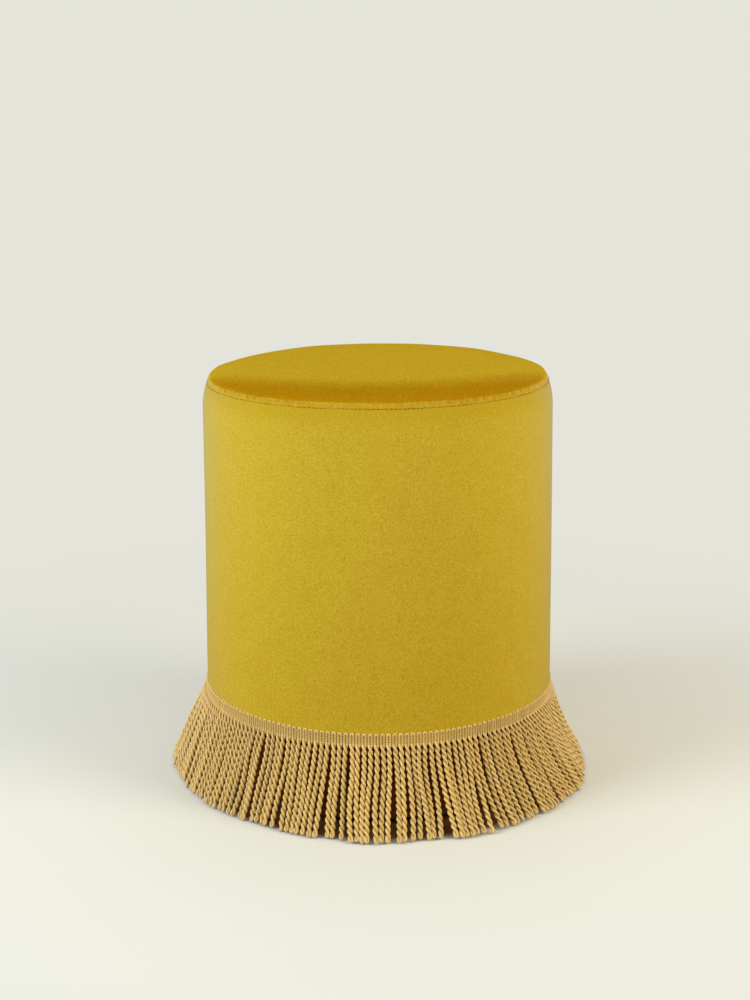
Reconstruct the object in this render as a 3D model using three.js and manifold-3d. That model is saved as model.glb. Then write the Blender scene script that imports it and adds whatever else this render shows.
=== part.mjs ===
// Round fringed tuffet: a plywood and pine drum under foam and velvet, with a bullion fringe to the floor.
// Millimetres, +Z up. The origin is on the floor under the middle of the seat, and -Y is the front.
import * as THREE from 'three';
import { mergeVertices } from 'three/addons/utils/BufferGeometryUtils.js';
import Module from 'manifold-3d';

const wasm = await Module();
wasm.setup();

// Outline of the covered drum
const bodyRadius = 190; // side of the drum at the foot of its shoulder
const baseFlare = 3.5; // how much wider the drum is at the floor
const rimHeight = 446; // edge between the side and the seat panel
const rimDrawIn = 8; // how far the rim lies inside the side
const shoulderDrop = 34; // from the rim down to where the side starts to draw in
const seamDrop = 7.5; // from the rim down to the topstitched seam
const rimRounding = 3;
const crownRise = 6; // from the rim up to the middle of the seat
const crownPower = 4; // a high power keeps the middle of the seat flat

// Soft layers, from the outside in
const fit = 0.3; // clearance between neighbours that touch
const velvetThickness = 1.5;
const hemWidth = 30; // velvet turned in under the base
const hemRounding = 3;
const waddingThickness = 6;
const paddingThickness = 6;
const foamThickness = 32; // seat foam at its edge
const foamRounding = 9;

// Frame
const skinThickness = 3; // bent ply wrapped round the boards
const skinJoint = 1.2; // butt joint of the skin, over the rear upright
const boardThickness = 15;
const uprightCount = 6;
const uprightWidth = 30;
const uprightArris = 2; // eased corners
const screwLength = 45;
const screwDiameter = 4;
const screwHeadDiameter = 8;
const screwHeadHeight = 2.6;
const screwTip = 5;

// Underside
const dustCoverThickness = 0.8;
const dustCoverInset = 12; // from the drum side to the edge of the cover
const glideCount = 4;
const glideHeight = 5.5;
const glideDiameter = 25;
const glideRounding = 2;
const glideInset = 40; // from the drum side to the middle of a glide
const glideRecess = 0.9; // screw head above the floor
const glideScrewLength = 18;
const glideScrewDiameter = 3.5;
const glideScrewHeadDiameter = 7;
const glideScrewHeadHeight = 2.2;
const glideScrewTip = 4;

// Bullion fringe
const trimHeight = 100; // top of the header above the floor
const headerHeight = 13;
const headerThickness = 3.2;
const headerGroove = 1.2; // between the ribs of the header
const scallopDepth = 1.8;
const sliceCount = 8; // the fringe is one length of trim, drawn in equal slices
const cordDiameter = 5.2;
const cordGap = 1.1; // least space between two cords at the header
const cordSetIn = 4; // length of a cord that is woven into the header
const cordRootDiameter = 2; // where the cord enters the header
const fringeSpread = 37; // how far the tips stand out beyond the header
const tipHeight = 3; // end of a cord's centre line above the floor
const hangShares = [0.3, 0.5]; // bend of a cord, as shares of its spread and its drop
const swayShares = [0.8, 0.25]; // sideways sway of the tips, as shares of the gap between cords
const spreadShares = [0.05, 0.03]; // in and out sway of the tips, as shares of the spread
const swayWaves = [3, 5]; // whole waves of each sway round a slice
const spreadPhase = 2; // how far the in and out sway runs ahead of the sideways sway

// Counts of facets
const roundSides = 48;
const screwSides = 6;
const glideSides = 14;
const cordSides = 4;
const bendSteps = 2;
const crownShares = [0.86, 0.62, 0]; // rings of the seat's crown, as shares of its radius
const cordShares = [0, 0.09, 0.5, 1]; // rings of a cord, as shares of its route

// Heights worked out from the sizes above
const drumHeight = rimHeight - shoulderDrop;
const seamHeight = rimHeight - seamDrop;
const dustCoverBottom = glideHeight + fit;
const hemBottom = dustCoverBottom + dustCoverThickness + fit;
const baseBottom = hemBottom + velvetThickness + fit;
const foamDepth = velvetThickness + fit + waddingThickness + fit;
const foamBottom = rimHeight - foamDepth - foamThickness;
const topBoardTop = foamBottom - fit;
const topBoardBottom = topBoardTop - boardThickness;
const uprightBottom = baseBottom + boardThickness + fit;
const paddingTop = seamHeight - velvetThickness - fit;
const headerBottom = trimHeight - headerHeight;

// Radii worked out from the sizes above
const skinRadius = bodyRadius - velvetThickness - fit - paddingThickness - fit;
const boardRadius = skinRadius - skinThickness - fit;
const boardFlat = boardRadius * Math.cos(Math.PI / roundSides);
const uprightCentre = Math.sqrt(boardFlat ** 2 - (uprightWidth / 2) ** 2) - uprightWidth / 2;
const hemRadius = bodyRadius - hemWidth;
const dustCoverRadius = bodyRadius - dustCoverInset;
const glideCentre = bodyRadius - glideInset;
const cutOverrun = boardThickness; // how far a cutter runs past the face that it cuts
const quarterTurn = Math.PI / 2;
const fullTurn = Math.PI * 2;

// Finishes
const finishes = {
  velvet: { color: 0xc8a92f, roughness: 0.85 },
  bullion: { color: 0xd9b872, roughness: 0.7 },
  foam: { color: 0xe9e0b8, roughness: 0.95 },
  wadding: { color: 0xf2f1ec, roughness: 1 },
  ply: { color: 0xcfae7c, roughness: 0.7 },
  pine: { color: 0xdcbd86, roughness: 0.75 },
  lining: { color: 0x1d1c1b, roughness: 0.95 },
  glide: { color: 0x2a2623, roughness: 0.45 },
  steel: { color: 0xb9b9b4, roughness: 0.35, metalness: 1 },
};
const materials = Object.fromEntries(
  Object.entries(finishes).map(([name, finish]) => [name, new THREE.MeshStandardMaterial({ name, ...finish })]),
);

const tuffet = new THREE.Group();
tuffet.name = 'tuffet';

function add(name, geometry, material, angle = 0) {
  const mesh = new THREE.Mesh(geometry, material);
  mesh.name = name;
  mesh.rotation.z = angle;
  tuffet.add(mesh);
}

// Merges shared vertices, drops faces of no area and turns the faces outward.
function closed(geometry) {
  const bare = geometry.clone();
  bare.deleteAttribute('normal');
  bare.deleteAttribute('uv');
  const merged = mergeVertices(bare);
  const index = Array.from(merged.index.array);
  const kept = [];
  let volume = 0;
  const [a, b, c] = [new THREE.Vector3(), new THREE.Vector3(), new THREE.Vector3()];
  for (let i = 0; i < index.length; i += 3) {
    const face = index.slice(i, i + 3);
    if (new Set(face).size < 3) continue;
    [a, b, c].forEach((corner, k) => corner.fromBufferAttribute(merged.attributes.position, face[k]));
    volume += a.dot(b.cross(c));
    kept.push(face);
  }
  merged.setIndex(kept.flatMap((face) => (volume < 0 ? face.reverse() : face)));
  return merged;
}

function solidOf(geometry) {
  const shape = closed(geometry);
  const vertProperties = new Float32Array(shape.attributes.position.array);
  const triVerts = new Uint32Array(shape.index.array);
  return new wasm.Manifold(new wasm.Mesh({ numProp: 3, vertProperties, triVerts }));
}

function geometryOf(solid) {
  const mesh = solid.getMesh();
  const geometry = new THREE.BufferGeometry();
  geometry.setAttribute('position', new THREE.BufferAttribute(new Float32Array(mesh.vertProperties), mesh.numProp));
  geometry.setIndex(Array.from(mesh.triVerts));
  return geometry;
}

function cut(geometry, cutters) {
  return geometryOf(cutters.reduce((solid, cutter) => solid.subtract(solidOf(cutter)), solidOf(geometry)));
}

// Turns an outline of [radius, height] points about the Z axis.
function turned(outline, sides = roundSides) {
  const points = outline.map(([radius, height]) => new THREE.Vector2(radius, height));
  return closed(new THREE.LatheGeometry(points, sides).rotateX(quarterTurn));
}

function spaced(from, to, steps) {
  return Array.from({ length: steps + 1 }, (_, k) => from + ((to - from) * k) / steps);
}

function bend(from, corner, to) {
  const curve = new THREE.QuadraticBezierCurve(...[from, corner, to].map(([x, y]) => new THREE.Vector2(x, y)));
  return curve.getPoints(bendSteps).map((point) => [point.x, point.y]);
}

// Radius of the velvet's outer face: a slight taper, then a shoulder that draws in to the rim.
function sideRadius(height) {
  if (height <= drumHeight) return bodyRadius + baseFlare * (1 - height / drumHeight);
  return bodyRadius - rimDrawIn * ((height - drumHeight) / shoulderDrop) ** 2;
}

// Outline of the seat at a depth under the velvet's face, from a height on its side to the middle of the top.
function seatOutline(depth, start) {
  const rim = rimHeight - depth;
  const radius = sideRadius(rim) - depth;
  const crown = (r) => rim + crownRise * (1 - (r / radius) ** crownPower);
  const rounding = Math.max(rimRounding, (foamRounding * depth) / foamDepth);
  const side = [start, rim - rounding].map((height) => [sideRadius(height) - depth, height]);
  const edge = bend(side[1], [radius, rim], [radius - rounding, crown(radius - rounding)]);
  const top = crownShares.map((share) => share * radius).map((r) => [r, crown(r)]);
  return [side[0], ...edge, ...top];
}

// Screw with a countersunk head at height zero and its point up.
function screw(length, diameter, headDiameter, headHeight, tip) {
  return turned([[0, 0], [headDiameter / 2, 0], [diameter / 2, headHeight],
    [diameter / 2, length - tip], [0, length]], screwSides);
}

// Cutter for such a screw, with clearance all round.
function screwHole(length, diameter, headDiameter, headHeight) {
  return turned([[0, -cutOverrun], [headDiameter / 2 + fit, -cutOverrun], [headDiameter / 2 + fit, 0],
    [diameter / 2 + fit, headHeight], [diameter / 2 + fit, length + fit], [0, length + fit]], screwSides);
}

function placed(geometry, radius, height, angle) {
  return geometry.clone().translate(radius, 0, height).rotateZ(angle);
}

const evenAngles = (count, first) => Array.from({ length: count }, (_, k) => first + (fullTurn * k) / count);
const uprightAngles = evenAngles(uprightCount, quarterTurn);
const glideAngles = evenAngles(glideCount, quarterTurn / 2);

// Frame screws point up through the base board and down through the top board
const screwSizes = [screwLength, screwDiameter, screwHeadDiameter, screwHeadHeight];
const baseScrew = screw(...screwSizes, screwTip);
const topScrew = baseScrew.clone().rotateX(Math.PI);
const baseScrewHole = screwHole(...screwSizes);
const topScrewHole = baseScrewHole.clone().rotateX(Math.PI);
const glideScrewSizes = [glideScrewLength, glideScrewDiameter, glideScrewHeadDiameter, glideScrewHeadHeight];
const glideScrewHole = screwHole(...glideScrewSizes);

// Top board and base board
function board(bottom) {
  return turned([[0, bottom], [boardRadius, bottom], [boardRadius, bottom + boardThickness],
    [0, bottom + boardThickness]]);
}
const topHoles = uprightAngles.map((angle) => placed(topScrewHole, uprightCentre, topBoardTop, angle));
const baseHoles = uprightAngles.map((angle) => placed(baseScrewHole, uprightCentre, baseBottom, angle));
const glideHoles = glideAngles.map((angle) => placed(glideScrewHole, glideCentre, glideRecess, angle));
add('top_board', cut(board(topBoardBottom), topHoles), materials.ply);
add('base_board', cut(board(baseBottom), [...baseHoles, ...glideHoles]), materials.ply);

// Uprights: planed pine battens between the boards, bored at both ends
const half = uprightWidth / 2;
const uprightSection = new THREE.Shape([
  [half - uprightArris, -half], [half, uprightArris - half], [half, half - uprightArris], [half - uprightArris, half],
  [uprightArris - half, half], [-half, half - uprightArris], [-half, uprightArris - half], [uprightArris - half, -half],
].map(([x, y]) => new THREE.Vector2(x, y)));
const uprightLength = topBoardBottom - fit - uprightBottom;
const batten = new THREE.ExtrudeGeometry(uprightSection, { depth: uprightLength, bevelEnabled: false });
const boredBatten = cut(placed(batten, uprightCentre, uprightBottom, 0), [
  placed(topScrewHole, uprightCentre, topBoardTop, 0), placed(baseScrewHole, uprightCentre, baseBottom, 0)]);
uprightAngles.forEach((angle, k) => {
  add(`upright_${k + 1}`, boredBatten, materials.pine, angle);
  add(`top_screw_${k + 1}`, placed(topScrew, uprightCentre, topBoardTop, 0), materials.steel, angle);
  add(`base_screw_${k + 1}`, placed(baseScrew, uprightCentre, baseBottom, 0), materials.steel, angle);
});

// Drum skin: ply bent round both boards, its ends meeting over the rear upright
const skinInner = skinRadius - skinThickness;
const skinWrap = turned([[skinInner, baseBottom], [skinRadius, baseBottom], [skinRadius, topBoardTop],
  [skinInner, topBoardTop], [skinInner, baseBottom]]);
const skinSlit = new THREE.BoxGeometry(skinJoint, skinRadius, rimHeight).translate(0, skinRadius, rimHeight / 2);
add('drum_skin', cut(skinWrap, [skinSlit]), materials.ply);

// Side padding: sheet foam round the skin and the seat foam, pressed thinner by the shoulder
const paddingDepth = velvetThickness + fit;
const paddingInner = skinRadius + fit;
const paddingOutline = [baseBottom, ...spaced(drumHeight, paddingTop, 2)]
  .map((height) => [sideRadius(height) - paddingDepth, height]);
add('side_padding', turned([[paddingInner, baseBottom], ...paddingOutline, [paddingInner, paddingTop],
  [paddingInner, baseBottom]]), materials.foam);

// Seat foam: a crowned disc on the top board, flush with the skin, under a cap of wadding
const foamCap = seatOutline(foamDepth, paddingTop - foamRounding);
const foamSide = foamCap.map(([radius, height]) => [Math.min(radius, skinRadius), height]);
add('seat_foam', turned([[0, foamBottom], [skinRadius, foamBottom], ...foamSide]), materials.foam);
const waddingBottom = paddingTop + fit;
const waddingInner = foamSide.filter(([, height]) => height + fit > waddingBottom)
  .map(([radius, height]) => [radius, height + fit]);
const waddingOuter = seatOutline(paddingDepth, waddingBottom);
add('seat_wadding', turned([...waddingOuter, ...waddingInner.reverse(), [paddingInner, waddingBottom],
  waddingOuter[0]]), materials.wadding);

// Velvet: a seat panel that turns down to the seam, and a sleeve hemmed under the base
const seamTop = seamHeight + fit / 2;
const seamBottom = seamHeight - fit / 2;
const panelFace = seatOutline(0, seamTop);
const panelBack = seatOutline(velvetThickness, seamTop).reverse();
add('velvet_top', turned([...panelFace, ...panelBack, panelFace[0]]), materials.velvet);
const sleeveHeights = spaced(drumHeight, seamBottom, 2);
const hemEdge = bend([sideRadius(0) - hemRounding, hemBottom], [sideRadius(0), hemBottom],
  [sideRadius(hemBottom + hemRounding), hemBottom + hemRounding]);
const hemTop = hemBottom + velvetThickness;
add('velvet_side', turned([
  [hemRadius, hemBottom], ...hemEdge, ...sleeveHeights.map((height) => [sideRadius(height), height]),
  ...sleeveHeights.map((height) => [sideRadius(height) - velvetThickness, height]).reverse(),
  [sideRadius(hemTop) - velvetThickness, hemTop], [hemRadius, hemTop], [hemRadius, hemBottom]]), materials.velvet);

// Dust cover over the hem, and screwed glides
const cover = turned([[0, dustCoverBottom], [dustCoverRadius, dustCoverBottom],
  [dustCoverRadius, dustCoverBottom + dustCoverThickness], [0, dustCoverBottom + dustCoverThickness]]);
add('dust_cover', cut(cover, glideHoles), materials.lining);
const glideRadius = glideDiameter / 2;
const glideSolid = turned([[0, 0], ...bend([glideRadius - glideRounding, 0], [glideRadius, 0],
  [glideRadius, glideRounding]), [glideRadius, glideHeight], [0, glideHeight]], glideSides);
const glide = cut(placed(glideSolid, glideCentre, 0, 0), [placed(glideScrewHole, glideCentre, glideRecess, 0)]);
const glideScrew = placed(screw(...glideScrewSizes, glideScrewTip), glideCentre, glideRecess, 0);
glideAngles.forEach((angle, k) => {
  add(`glide_${k + 1}`, glide, materials.glide, angle);
  add(`glide_screw_${k + 1}`, glideScrew, materials.steel, angle);
});

// Bullion fringe: a gimp header with a scalloped edge, and twisted cords that hang from it to the floor
const headerInner = sideRadius(headerBottom) + fit;
const cordRadius = cordDiameter / 2;
const cordCentre = headerInner + cordRadius;
const sliceTurn = fullTurn / sliceCount;
const cordsPerSlice = Math.floor((sliceTurn * cordCentre) / (cordDiameter + cordGap));
const cordTurn = sliceTurn / cordsPerSlice;

// Header of one slice: a rib and a scallop over each cord, a groove between two cords.
function headerSlice() {
  const positions = [];
  const faces = [];
  const columns = 2 * cordsPerSlice;
  const endTurn = fit / 2 / headerInner;
  for (let k = 0; k <= columns; k += 1) {
    const angle = Math.min(Math.max((k * cordTurn) / 2, endTurn), sliceTurn - endTurn);
    const rib = k % 2 === 1;
    const outer = headerInner + headerThickness - (rib ? 0 : headerGroove);
    const top = trimHeight - (rib ? 0 : scallopDepth);
    const ring = [[headerInner, headerBottom], [outer, headerBottom], [outer, top], [headerInner, top]];
    ring.forEach(([r, z]) => positions.push(r * Math.cos(angle), r * Math.sin(angle), z));
  }
  const sides = 4;
  for (let k = 0; k < columns; k += 1) {
    for (let s = 0; s < sides; s += 1) {
      const [a, b] = [k * sides + s, k * sides + ((s + 1) % sides)];
      faces.push(a, b, b + sides, a, b + sides, a + sides);
    }
  }
  const last = columns * sides;
  faces.push(0, 2, 1, 0, 3, 2, last, last + 1, last + 2, last, last + 2, last + 3);
  const geometry = new THREE.BufferGeometry();
  geometry.setAttribute('position', new THREE.Float32BufferAttribute(positions, 3));
  geometry.setIndex(faces);
  return geometry;
}

// Sum of the waves round a slice, of the given amplitudes, so that cords gather in loose clumps.
function wave(cord, amplitudes, phase) {
  const turn = (fullTurn * (cord + 1 / 2)) / cordsPerSlice;
  return swayWaves.reduce((sum, count, k) => sum + amplitudes[k] * Math.sin(count * turn + (k + 1) * phase), 0);
}

// Closed tube of cordSides faces through rings of [centre, radius], square to the route.
function tube(rings, across, forward) {
  const positions = [];
  const faces = [];
  rings.forEach(([centre, radius]) => evenAngles(cordSides, 0).forEach((turn) => {
    const point = centre.clone().addScaledVector(across, radius * Math.cos(turn))
      .addScaledVector(forward, radius * Math.sin(turn));
    positions.push(...point.toArray());
  }));
  for (let k = 0; k < rings.length - 1; k += 1) {
    for (let s = 0; s < cordSides; s += 1) {
      const [a, b] = [k * cordSides + s, k * cordSides + ((s + 1) % cordSides)];
      faces.push(a, b, b + cordSides, a, b + cordSides, a + cordSides);
    }
  }
  const last = (rings.length - 1) * cordSides;
  for (let s = 1; s < cordSides - 1; s += 1) faces.push(0, s + 1, s, last, last + s, last + s + 1);
  const geometry = new THREE.BufferGeometry();
  geometry.setAttribute('position', new THREE.Float32BufferAttribute(positions, 3));
  geometry.setIndex(faces);
  return geometry;
}

function cord(number) {
  const angle = (number + 1 / 2) * cordTurn;
  const out = new THREE.Vector3(Math.cos(angle), Math.sin(angle), 0);
  const along = new THREE.Vector3(-Math.sin(angle), Math.cos(angle), 0);
  const spread = fringeSpread * (1 + wave(number, spreadShares, spreadPhase));
  const sway = cordGap * wave(number, swayShares, 0);
  const at = (radius, side, height) => out.clone().multiplyScalar(radius).addScaledVector(along, side).setZ(height);
  const start = headerBottom + cordSetIn;
  const [outShare, downShare] = hangShares;
  const route = new THREE.QuadraticBezierCurve3(
    at(headerInner + headerThickness / 2, 0, start),
    at(cordCentre + outShare * spread, outShare * sway, start - downShare * (start - tipHeight)),
    at(cordCentre + spread, sway, tipHeight),
  );
  const rings = cordShares.map((share, k) => [route.getPointAt(share), k ? cordRadius : cordRootDiameter / 2]);
  const slope = route.getTangentAt(1 / 2);
  const forward = along.clone().cross(slope).normalize();
  return tube(rings, along, forward);
}

const cords = Array.from({ length: cordsPerSlice }, (_, k) => solidOf(cord(k)));
const fringeSlice = geometryOf(cords.reduce((solid, piece) => solid.add(piece), solidOf(headerSlice())));
for (let k = 0; k < sliceCount; k += 1) {
  add(`fringe_${k + 1}`, fringeSlice, materials.bullion, quarterTurn + k * sliceTurn);
}

export default tuffet;
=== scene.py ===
"""Dresses a round fringed tuffet over its frame: velvet drum, topstitched seat and bullion fringe.

Sizes are in millimetres and turned to metres as each mesh is made. +Z is up and -Y is the front. Angles go
round Z from +X, so that the front is at -90 degrees and the back, where the sleeve is joined, at +90.
"""

from __future__ import annotations

import logging
import math
from dataclasses import dataclass
from enum import Enum
from functools import partial
from typing import Any, Callable, Mapping, Sequence

import bmesh
import bpy
import numpy as np
from mathutils import Matrix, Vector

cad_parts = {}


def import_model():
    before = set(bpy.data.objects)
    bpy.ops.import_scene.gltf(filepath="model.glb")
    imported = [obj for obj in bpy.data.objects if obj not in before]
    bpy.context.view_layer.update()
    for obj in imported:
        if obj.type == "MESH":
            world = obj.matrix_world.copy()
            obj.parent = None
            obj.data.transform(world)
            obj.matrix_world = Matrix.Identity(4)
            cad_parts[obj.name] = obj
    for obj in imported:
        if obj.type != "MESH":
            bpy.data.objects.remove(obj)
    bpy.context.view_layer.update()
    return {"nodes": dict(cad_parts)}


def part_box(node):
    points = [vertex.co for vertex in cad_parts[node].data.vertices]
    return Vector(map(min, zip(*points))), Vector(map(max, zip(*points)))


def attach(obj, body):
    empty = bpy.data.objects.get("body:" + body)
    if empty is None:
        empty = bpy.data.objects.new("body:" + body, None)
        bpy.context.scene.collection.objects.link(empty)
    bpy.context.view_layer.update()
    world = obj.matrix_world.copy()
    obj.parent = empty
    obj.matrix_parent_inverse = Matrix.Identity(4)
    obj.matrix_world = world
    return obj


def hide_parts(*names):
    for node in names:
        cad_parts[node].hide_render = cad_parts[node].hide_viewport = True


LOG = logging.getLogger("tuffet")
MM = 0.001
BODY = "root"
FULL_TURN = 2 * math.pi
BACK = math.radians(90)
SMOOTH = {"interpolation_type": "SMOOTHSTEP"}
NodeAdder = Callable[..., bpy.types.Node]


# Colour and node helpers


def linear(code: str) -> tuple[float, float, float, float]:
    """Turns an sRGB hex colour into the linear colour that a shader reads.

    Args:
        code: The colour as "#RRGGBB".

    Returns:
        Red, green and blue as linear values, and an alpha of 1.
    """
    channels = [int(code[start:start + 2], 16) / 255 for start in (1, 3, 5)]
    red, green, blue = (c / 12.92 if c <= 0.04045 else ((c + 0.055) / 1.055) ** 2.4 for c in channels)
    return (red, green, blue, 1.0)


def per_metre(size: float) -> float:
    """Gives the texture scale at which a pattern repeats every size millimetres."""
    return 1 / (size * MM)


def waves_per_metre(size: float) -> float:
    """Gives a wave texture's scale, of 20 radians to a unit, at which it repeats every size millimetres."""
    return per_metre(size) / 20 * FULL_TURN


def add_node(
    tree: bpy.types.NodeTree,
    kind: str,
    inputs: Mapping[str | int, Any] | None = None,
    **settings: Any,
) -> bpy.types.Node:
    """Adds one node with its settings and links.

    Args:
        tree: The node tree that gets the node.
        kind: Blender's name of the node type.
        inputs: For each input, by name or number, the value that it holds, a colour as "#RRGGBB", the
            output that it is linked to, or a node, which stands for its first output in use.
        settings: Values for the node's own properties.

    Returns:
        The new node.
    """
    node = tree.nodes.new(kind)
    for name, value in settings.items():
        setattr(node, name, value)
    for name, value in (inputs or {}).items():
        if isinstance(value, bpy.types.Node):
            value = next(output for output in value.outputs if output.enabled)
        if isinstance(value, bpy.types.NodeSocket):
            tree.links.new(value, node.inputs[name])
        else:
            node.inputs[name].default_value = linear(value) if isinstance(value, str) else value
    return node


def coated(
    add: NodeAdder,
    share: bpy.types.Node | bpy.types.NodeSocket,
    tones: tuple[str, str],
    shader: Mapping[str, Any],
    relief: tuple[bpy.types.Node | bpy.types.NodeSocket, float, float] | None = None,
) -> bpy.types.Node:
    """Adds what most finishes end in: two tones mixed by a pattern, a relief, and the shader.

    Args:
        add: Adds a node to the material.
        share: The pattern that mixes the tones.
        tones: The colours where the pattern is 0 and 1.
        shader: The shader's other inputs.
        relief: The pattern of the relief, its strength, and its depth in millimetres.

    Returns:
        The Principled BSDF node.
    """
    colour = add("ShaderNodeMix", {0: share, 6: tones[0], 7: tones[1]}, data_type="RGBA")
    inputs = {"Base Color": colour, **shader}
    if relief:
        height, strength, depth = relief
        inputs["Normal"] = add("ShaderNodeBump", {
            "Strength": strength, "Distance": depth * MM, "Height": height})
    return add("ShaderNodeBsdfPrincipled", inputs)


# Mesh helpers


def smoothstep(low: float, high: float, value: np.ndarray) -> np.ndarray:
    """Rises smoothly from 0 at low to 1 at high."""
    share = np.clip((value - low) / (high - low), 0, 1)
    return share * share * (3 - 2 * share)


def ripple(turn: np.ndarray, waves: Sequence[int], seed: int) -> np.ndarray:
    """Sums whole waves round the drum, each at a random phase and strength.

    Args:
        turn: Angles round the drum.
        waves: How many of each wave go round the drum.
        seed: Seed of the phases and strengths.

    Returns:
        Heights of about -1 to 1, one for each angle.
    """
    rng = np.random.default_rng(seed)
    phases = rng.uniform(0, FULL_TURN, len(waves))
    strengths = rng.uniform(0.5, 1, len(waves))
    total = sum(s * np.sin(n * turn + p) for n, p, s in zip(waves, phases, strengths))
    return total / np.sqrt((strengths**2).sum())


def unit(vectors: np.ndarray) -> np.ndarray:
    """Scales vectors to length 1."""
    return vectors / np.linalg.norm(vectors, axis=-1, keepdims=True)


def square_to(vectors: np.ndarray, along: np.ndarray) -> np.ndarray:
    """Turns vectors square to the unit vectors along, and scales them to length 1."""
    return unit(vectors - (vectors * along).sum(-1, keepdims=True) * along)


def curve(start: np.ndarray, corner: np.ndarray, end: np.ndarray, share: Any) -> np.ndarray:
    """Gives points on the curve from start to end that is drawn towards the corner."""
    return (1 - share) ** 2 * start + 2 * share * (1 - share) * corner + share**2 * end


def added_up(steps: np.ndarray) -> np.ndarray:
    """Adds up the steps along each row, from 0."""
    return np.pad(np.cumsum(steps, axis=1), ((0, 0), (1, 0)))


def steps_round(count: int) -> np.ndarray:
    """Gives the angles of count equal steps round a full turn."""
    return np.arange(count) * FULL_TURN / count


def polar(radius: Any, turn: Any, height: Any) -> np.ndarray:
    """Gives the points at radii and angles about the Z axis and at heights, spread over each other."""
    return np.stack(np.broadcast_arrays(radius * np.cos(turn), radius * np.sin(turn), height), axis=-1)


def rounded(corners: Sequence[tuple[float, float, float]], steps: int = 4) -> np.ndarray:
    """Rounds the corners of an outline.

    Args:
        corners: The corners as (radius, height, rounding), in order.
        steps: Number of steps round each rounded corner.

    Returns:
        The points of the outline as (radius, height).
    """
    places = np.array([corner[:2] for corner in corners], float)
    points = []
    for k, (radius, height, rounding) in enumerate(corners):
        if not rounding:
            points.append([radius, height])
            continue
        here = places[k]
        before = here + rounding * unit(places[k - 1] - here)
        after = here + rounding * unit(places[(k + 1) % len(corners)] - here)
        points.extend(curve(before, here, after, np.linspace(0, 1, steps + 1)[:, None]))
    return np.array(points)


def grid_faces(rows: int, columns: int, close_rows: bool) -> np.ndarray:
    """Gives the quads over a grid of points whose columns close on themselves.

    Args:
        rows: Number of rows of points.
        columns: Number of points in a row.
        close_rows: Whether the last row joins the first.

    Returns:
        Four point numbers for each quad.
    """
    row, column = np.meshgrid(np.arange(rows if close_rows else rows - 1), np.arange(columns), indexing="ij")
    here, below = row * columns, (row + 1) % rows * columns
    beside = (column + 1) % columns
    return np.stack([here + column, here + beside, below + beside, below + column], axis=-1).reshape(-1, 4)


def repeated(faces: np.ndarray, copies: int, points_each: int) -> np.ndarray:
    """Repeats one copy's faces for copies whose points follow each other."""
    return (faces[None] + points_each * np.arange(copies)[:, None, None]).reshape(-1, faces.shape[1])


def swept(path: np.ndarray, facing: np.ndarray, radius: np.ndarray, sides: int, closed: bool) -> np.ndarray:
    """Sweeps a section along paths.

    Args:
        path: Centre lines, shaped (..., rings, 3).
        facing: Direction that the section's first corner faces, to be spread over path.
        radius: Distance of each corner from the centre line, to be spread over (..., rings, sides).
        sides: Number of corners of the section.
        closed: Whether each path closes on itself.

    Returns:
        The corners, shaped (..., rings, sides, 3).
    """
    if closed:
        along = np.roll(path, -1, axis=-2) - np.roll(path, 1, axis=-2)
    else:
        along = np.gradient(path, axis=-2)
    along = unit(along)
    first = square_to(facing, along)[..., None, :]
    second = np.cross(along, first[..., 0, :])[..., None, :]
    turn = steps_round(sides)[:, None]
    return path[..., None, :] + radius[..., None] * (np.cos(turn) * first + np.sin(turn) * second)


def rods(path: np.ndarray, facing: np.ndarray, radius: np.ndarray) -> tuple[np.ndarray, np.ndarray]:
    """Makes six-sided rods along open paths.

    Args:
        path: Centre lines, shaped (rods, rings, 3).
        facing: Direction that each ring's first corner faces.
        radius: Radius of each ring.

    Returns:
        The points, shaped (rods, rings, 6, 3), and the quads.
    """
    points = swept(path, facing, radius[:, None] * np.ones(6), 6, closed=False)
    count, rings = points.shape[:2]
    return points, repeated(grid_faces(rings, 6, close_rows=False), count, 6 * rings)


def revolved(outline: np.ndarray, sides: int, out: Any = 0.0, up: Any = 0.0) -> np.ndarray:
    """Turns an outline about the Z axis.

    Args:
        outline: Points as (radius, height).
        sides: Number of steps round the axis.
        out: Extra radius, to be spread over (points, sides).
        up: Extra height, likewise.

    Returns:
        The points, shaped (points, sides, 3).
    """
    return polar(outline[:, 0, None] + out, steps_round(sides), outline[:, 1, None] + up)


@dataclass(frozen=True)
class Finish:
    """One real finish, made into a material the first time that a piece takes it."""

    name: str

    def material(self) -> bpy.types.Material:
        """Returns the material, and makes it if no piece has it yet.

        Returns:
            The material.
        """
        found = bpy.data.materials.get(self.name)
        if found:
            return found
        material = bpy.data.materials.new(self.name)
        material.use_nodes = True
        material.node_tree.nodes.clear()
        add = partial(add_node, material.node_tree)
        place = add("ShaderNodeTexCoord").outputs["Object"]
        add("ShaderNodeOutputMaterial", {"Surface": self.surface(add, place)})
        return material

    def surface(self, add: NodeAdder, place: bpy.types.NodeSocket) -> bpy.types.Node:
        """Adds the nodes of the finish.

        Args:
            add: Adds a node to the material.
            place: Object coordinates, in metres.

        Returns:
            The Principled BSDF node.
        """
        raise NotImplementedError


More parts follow.
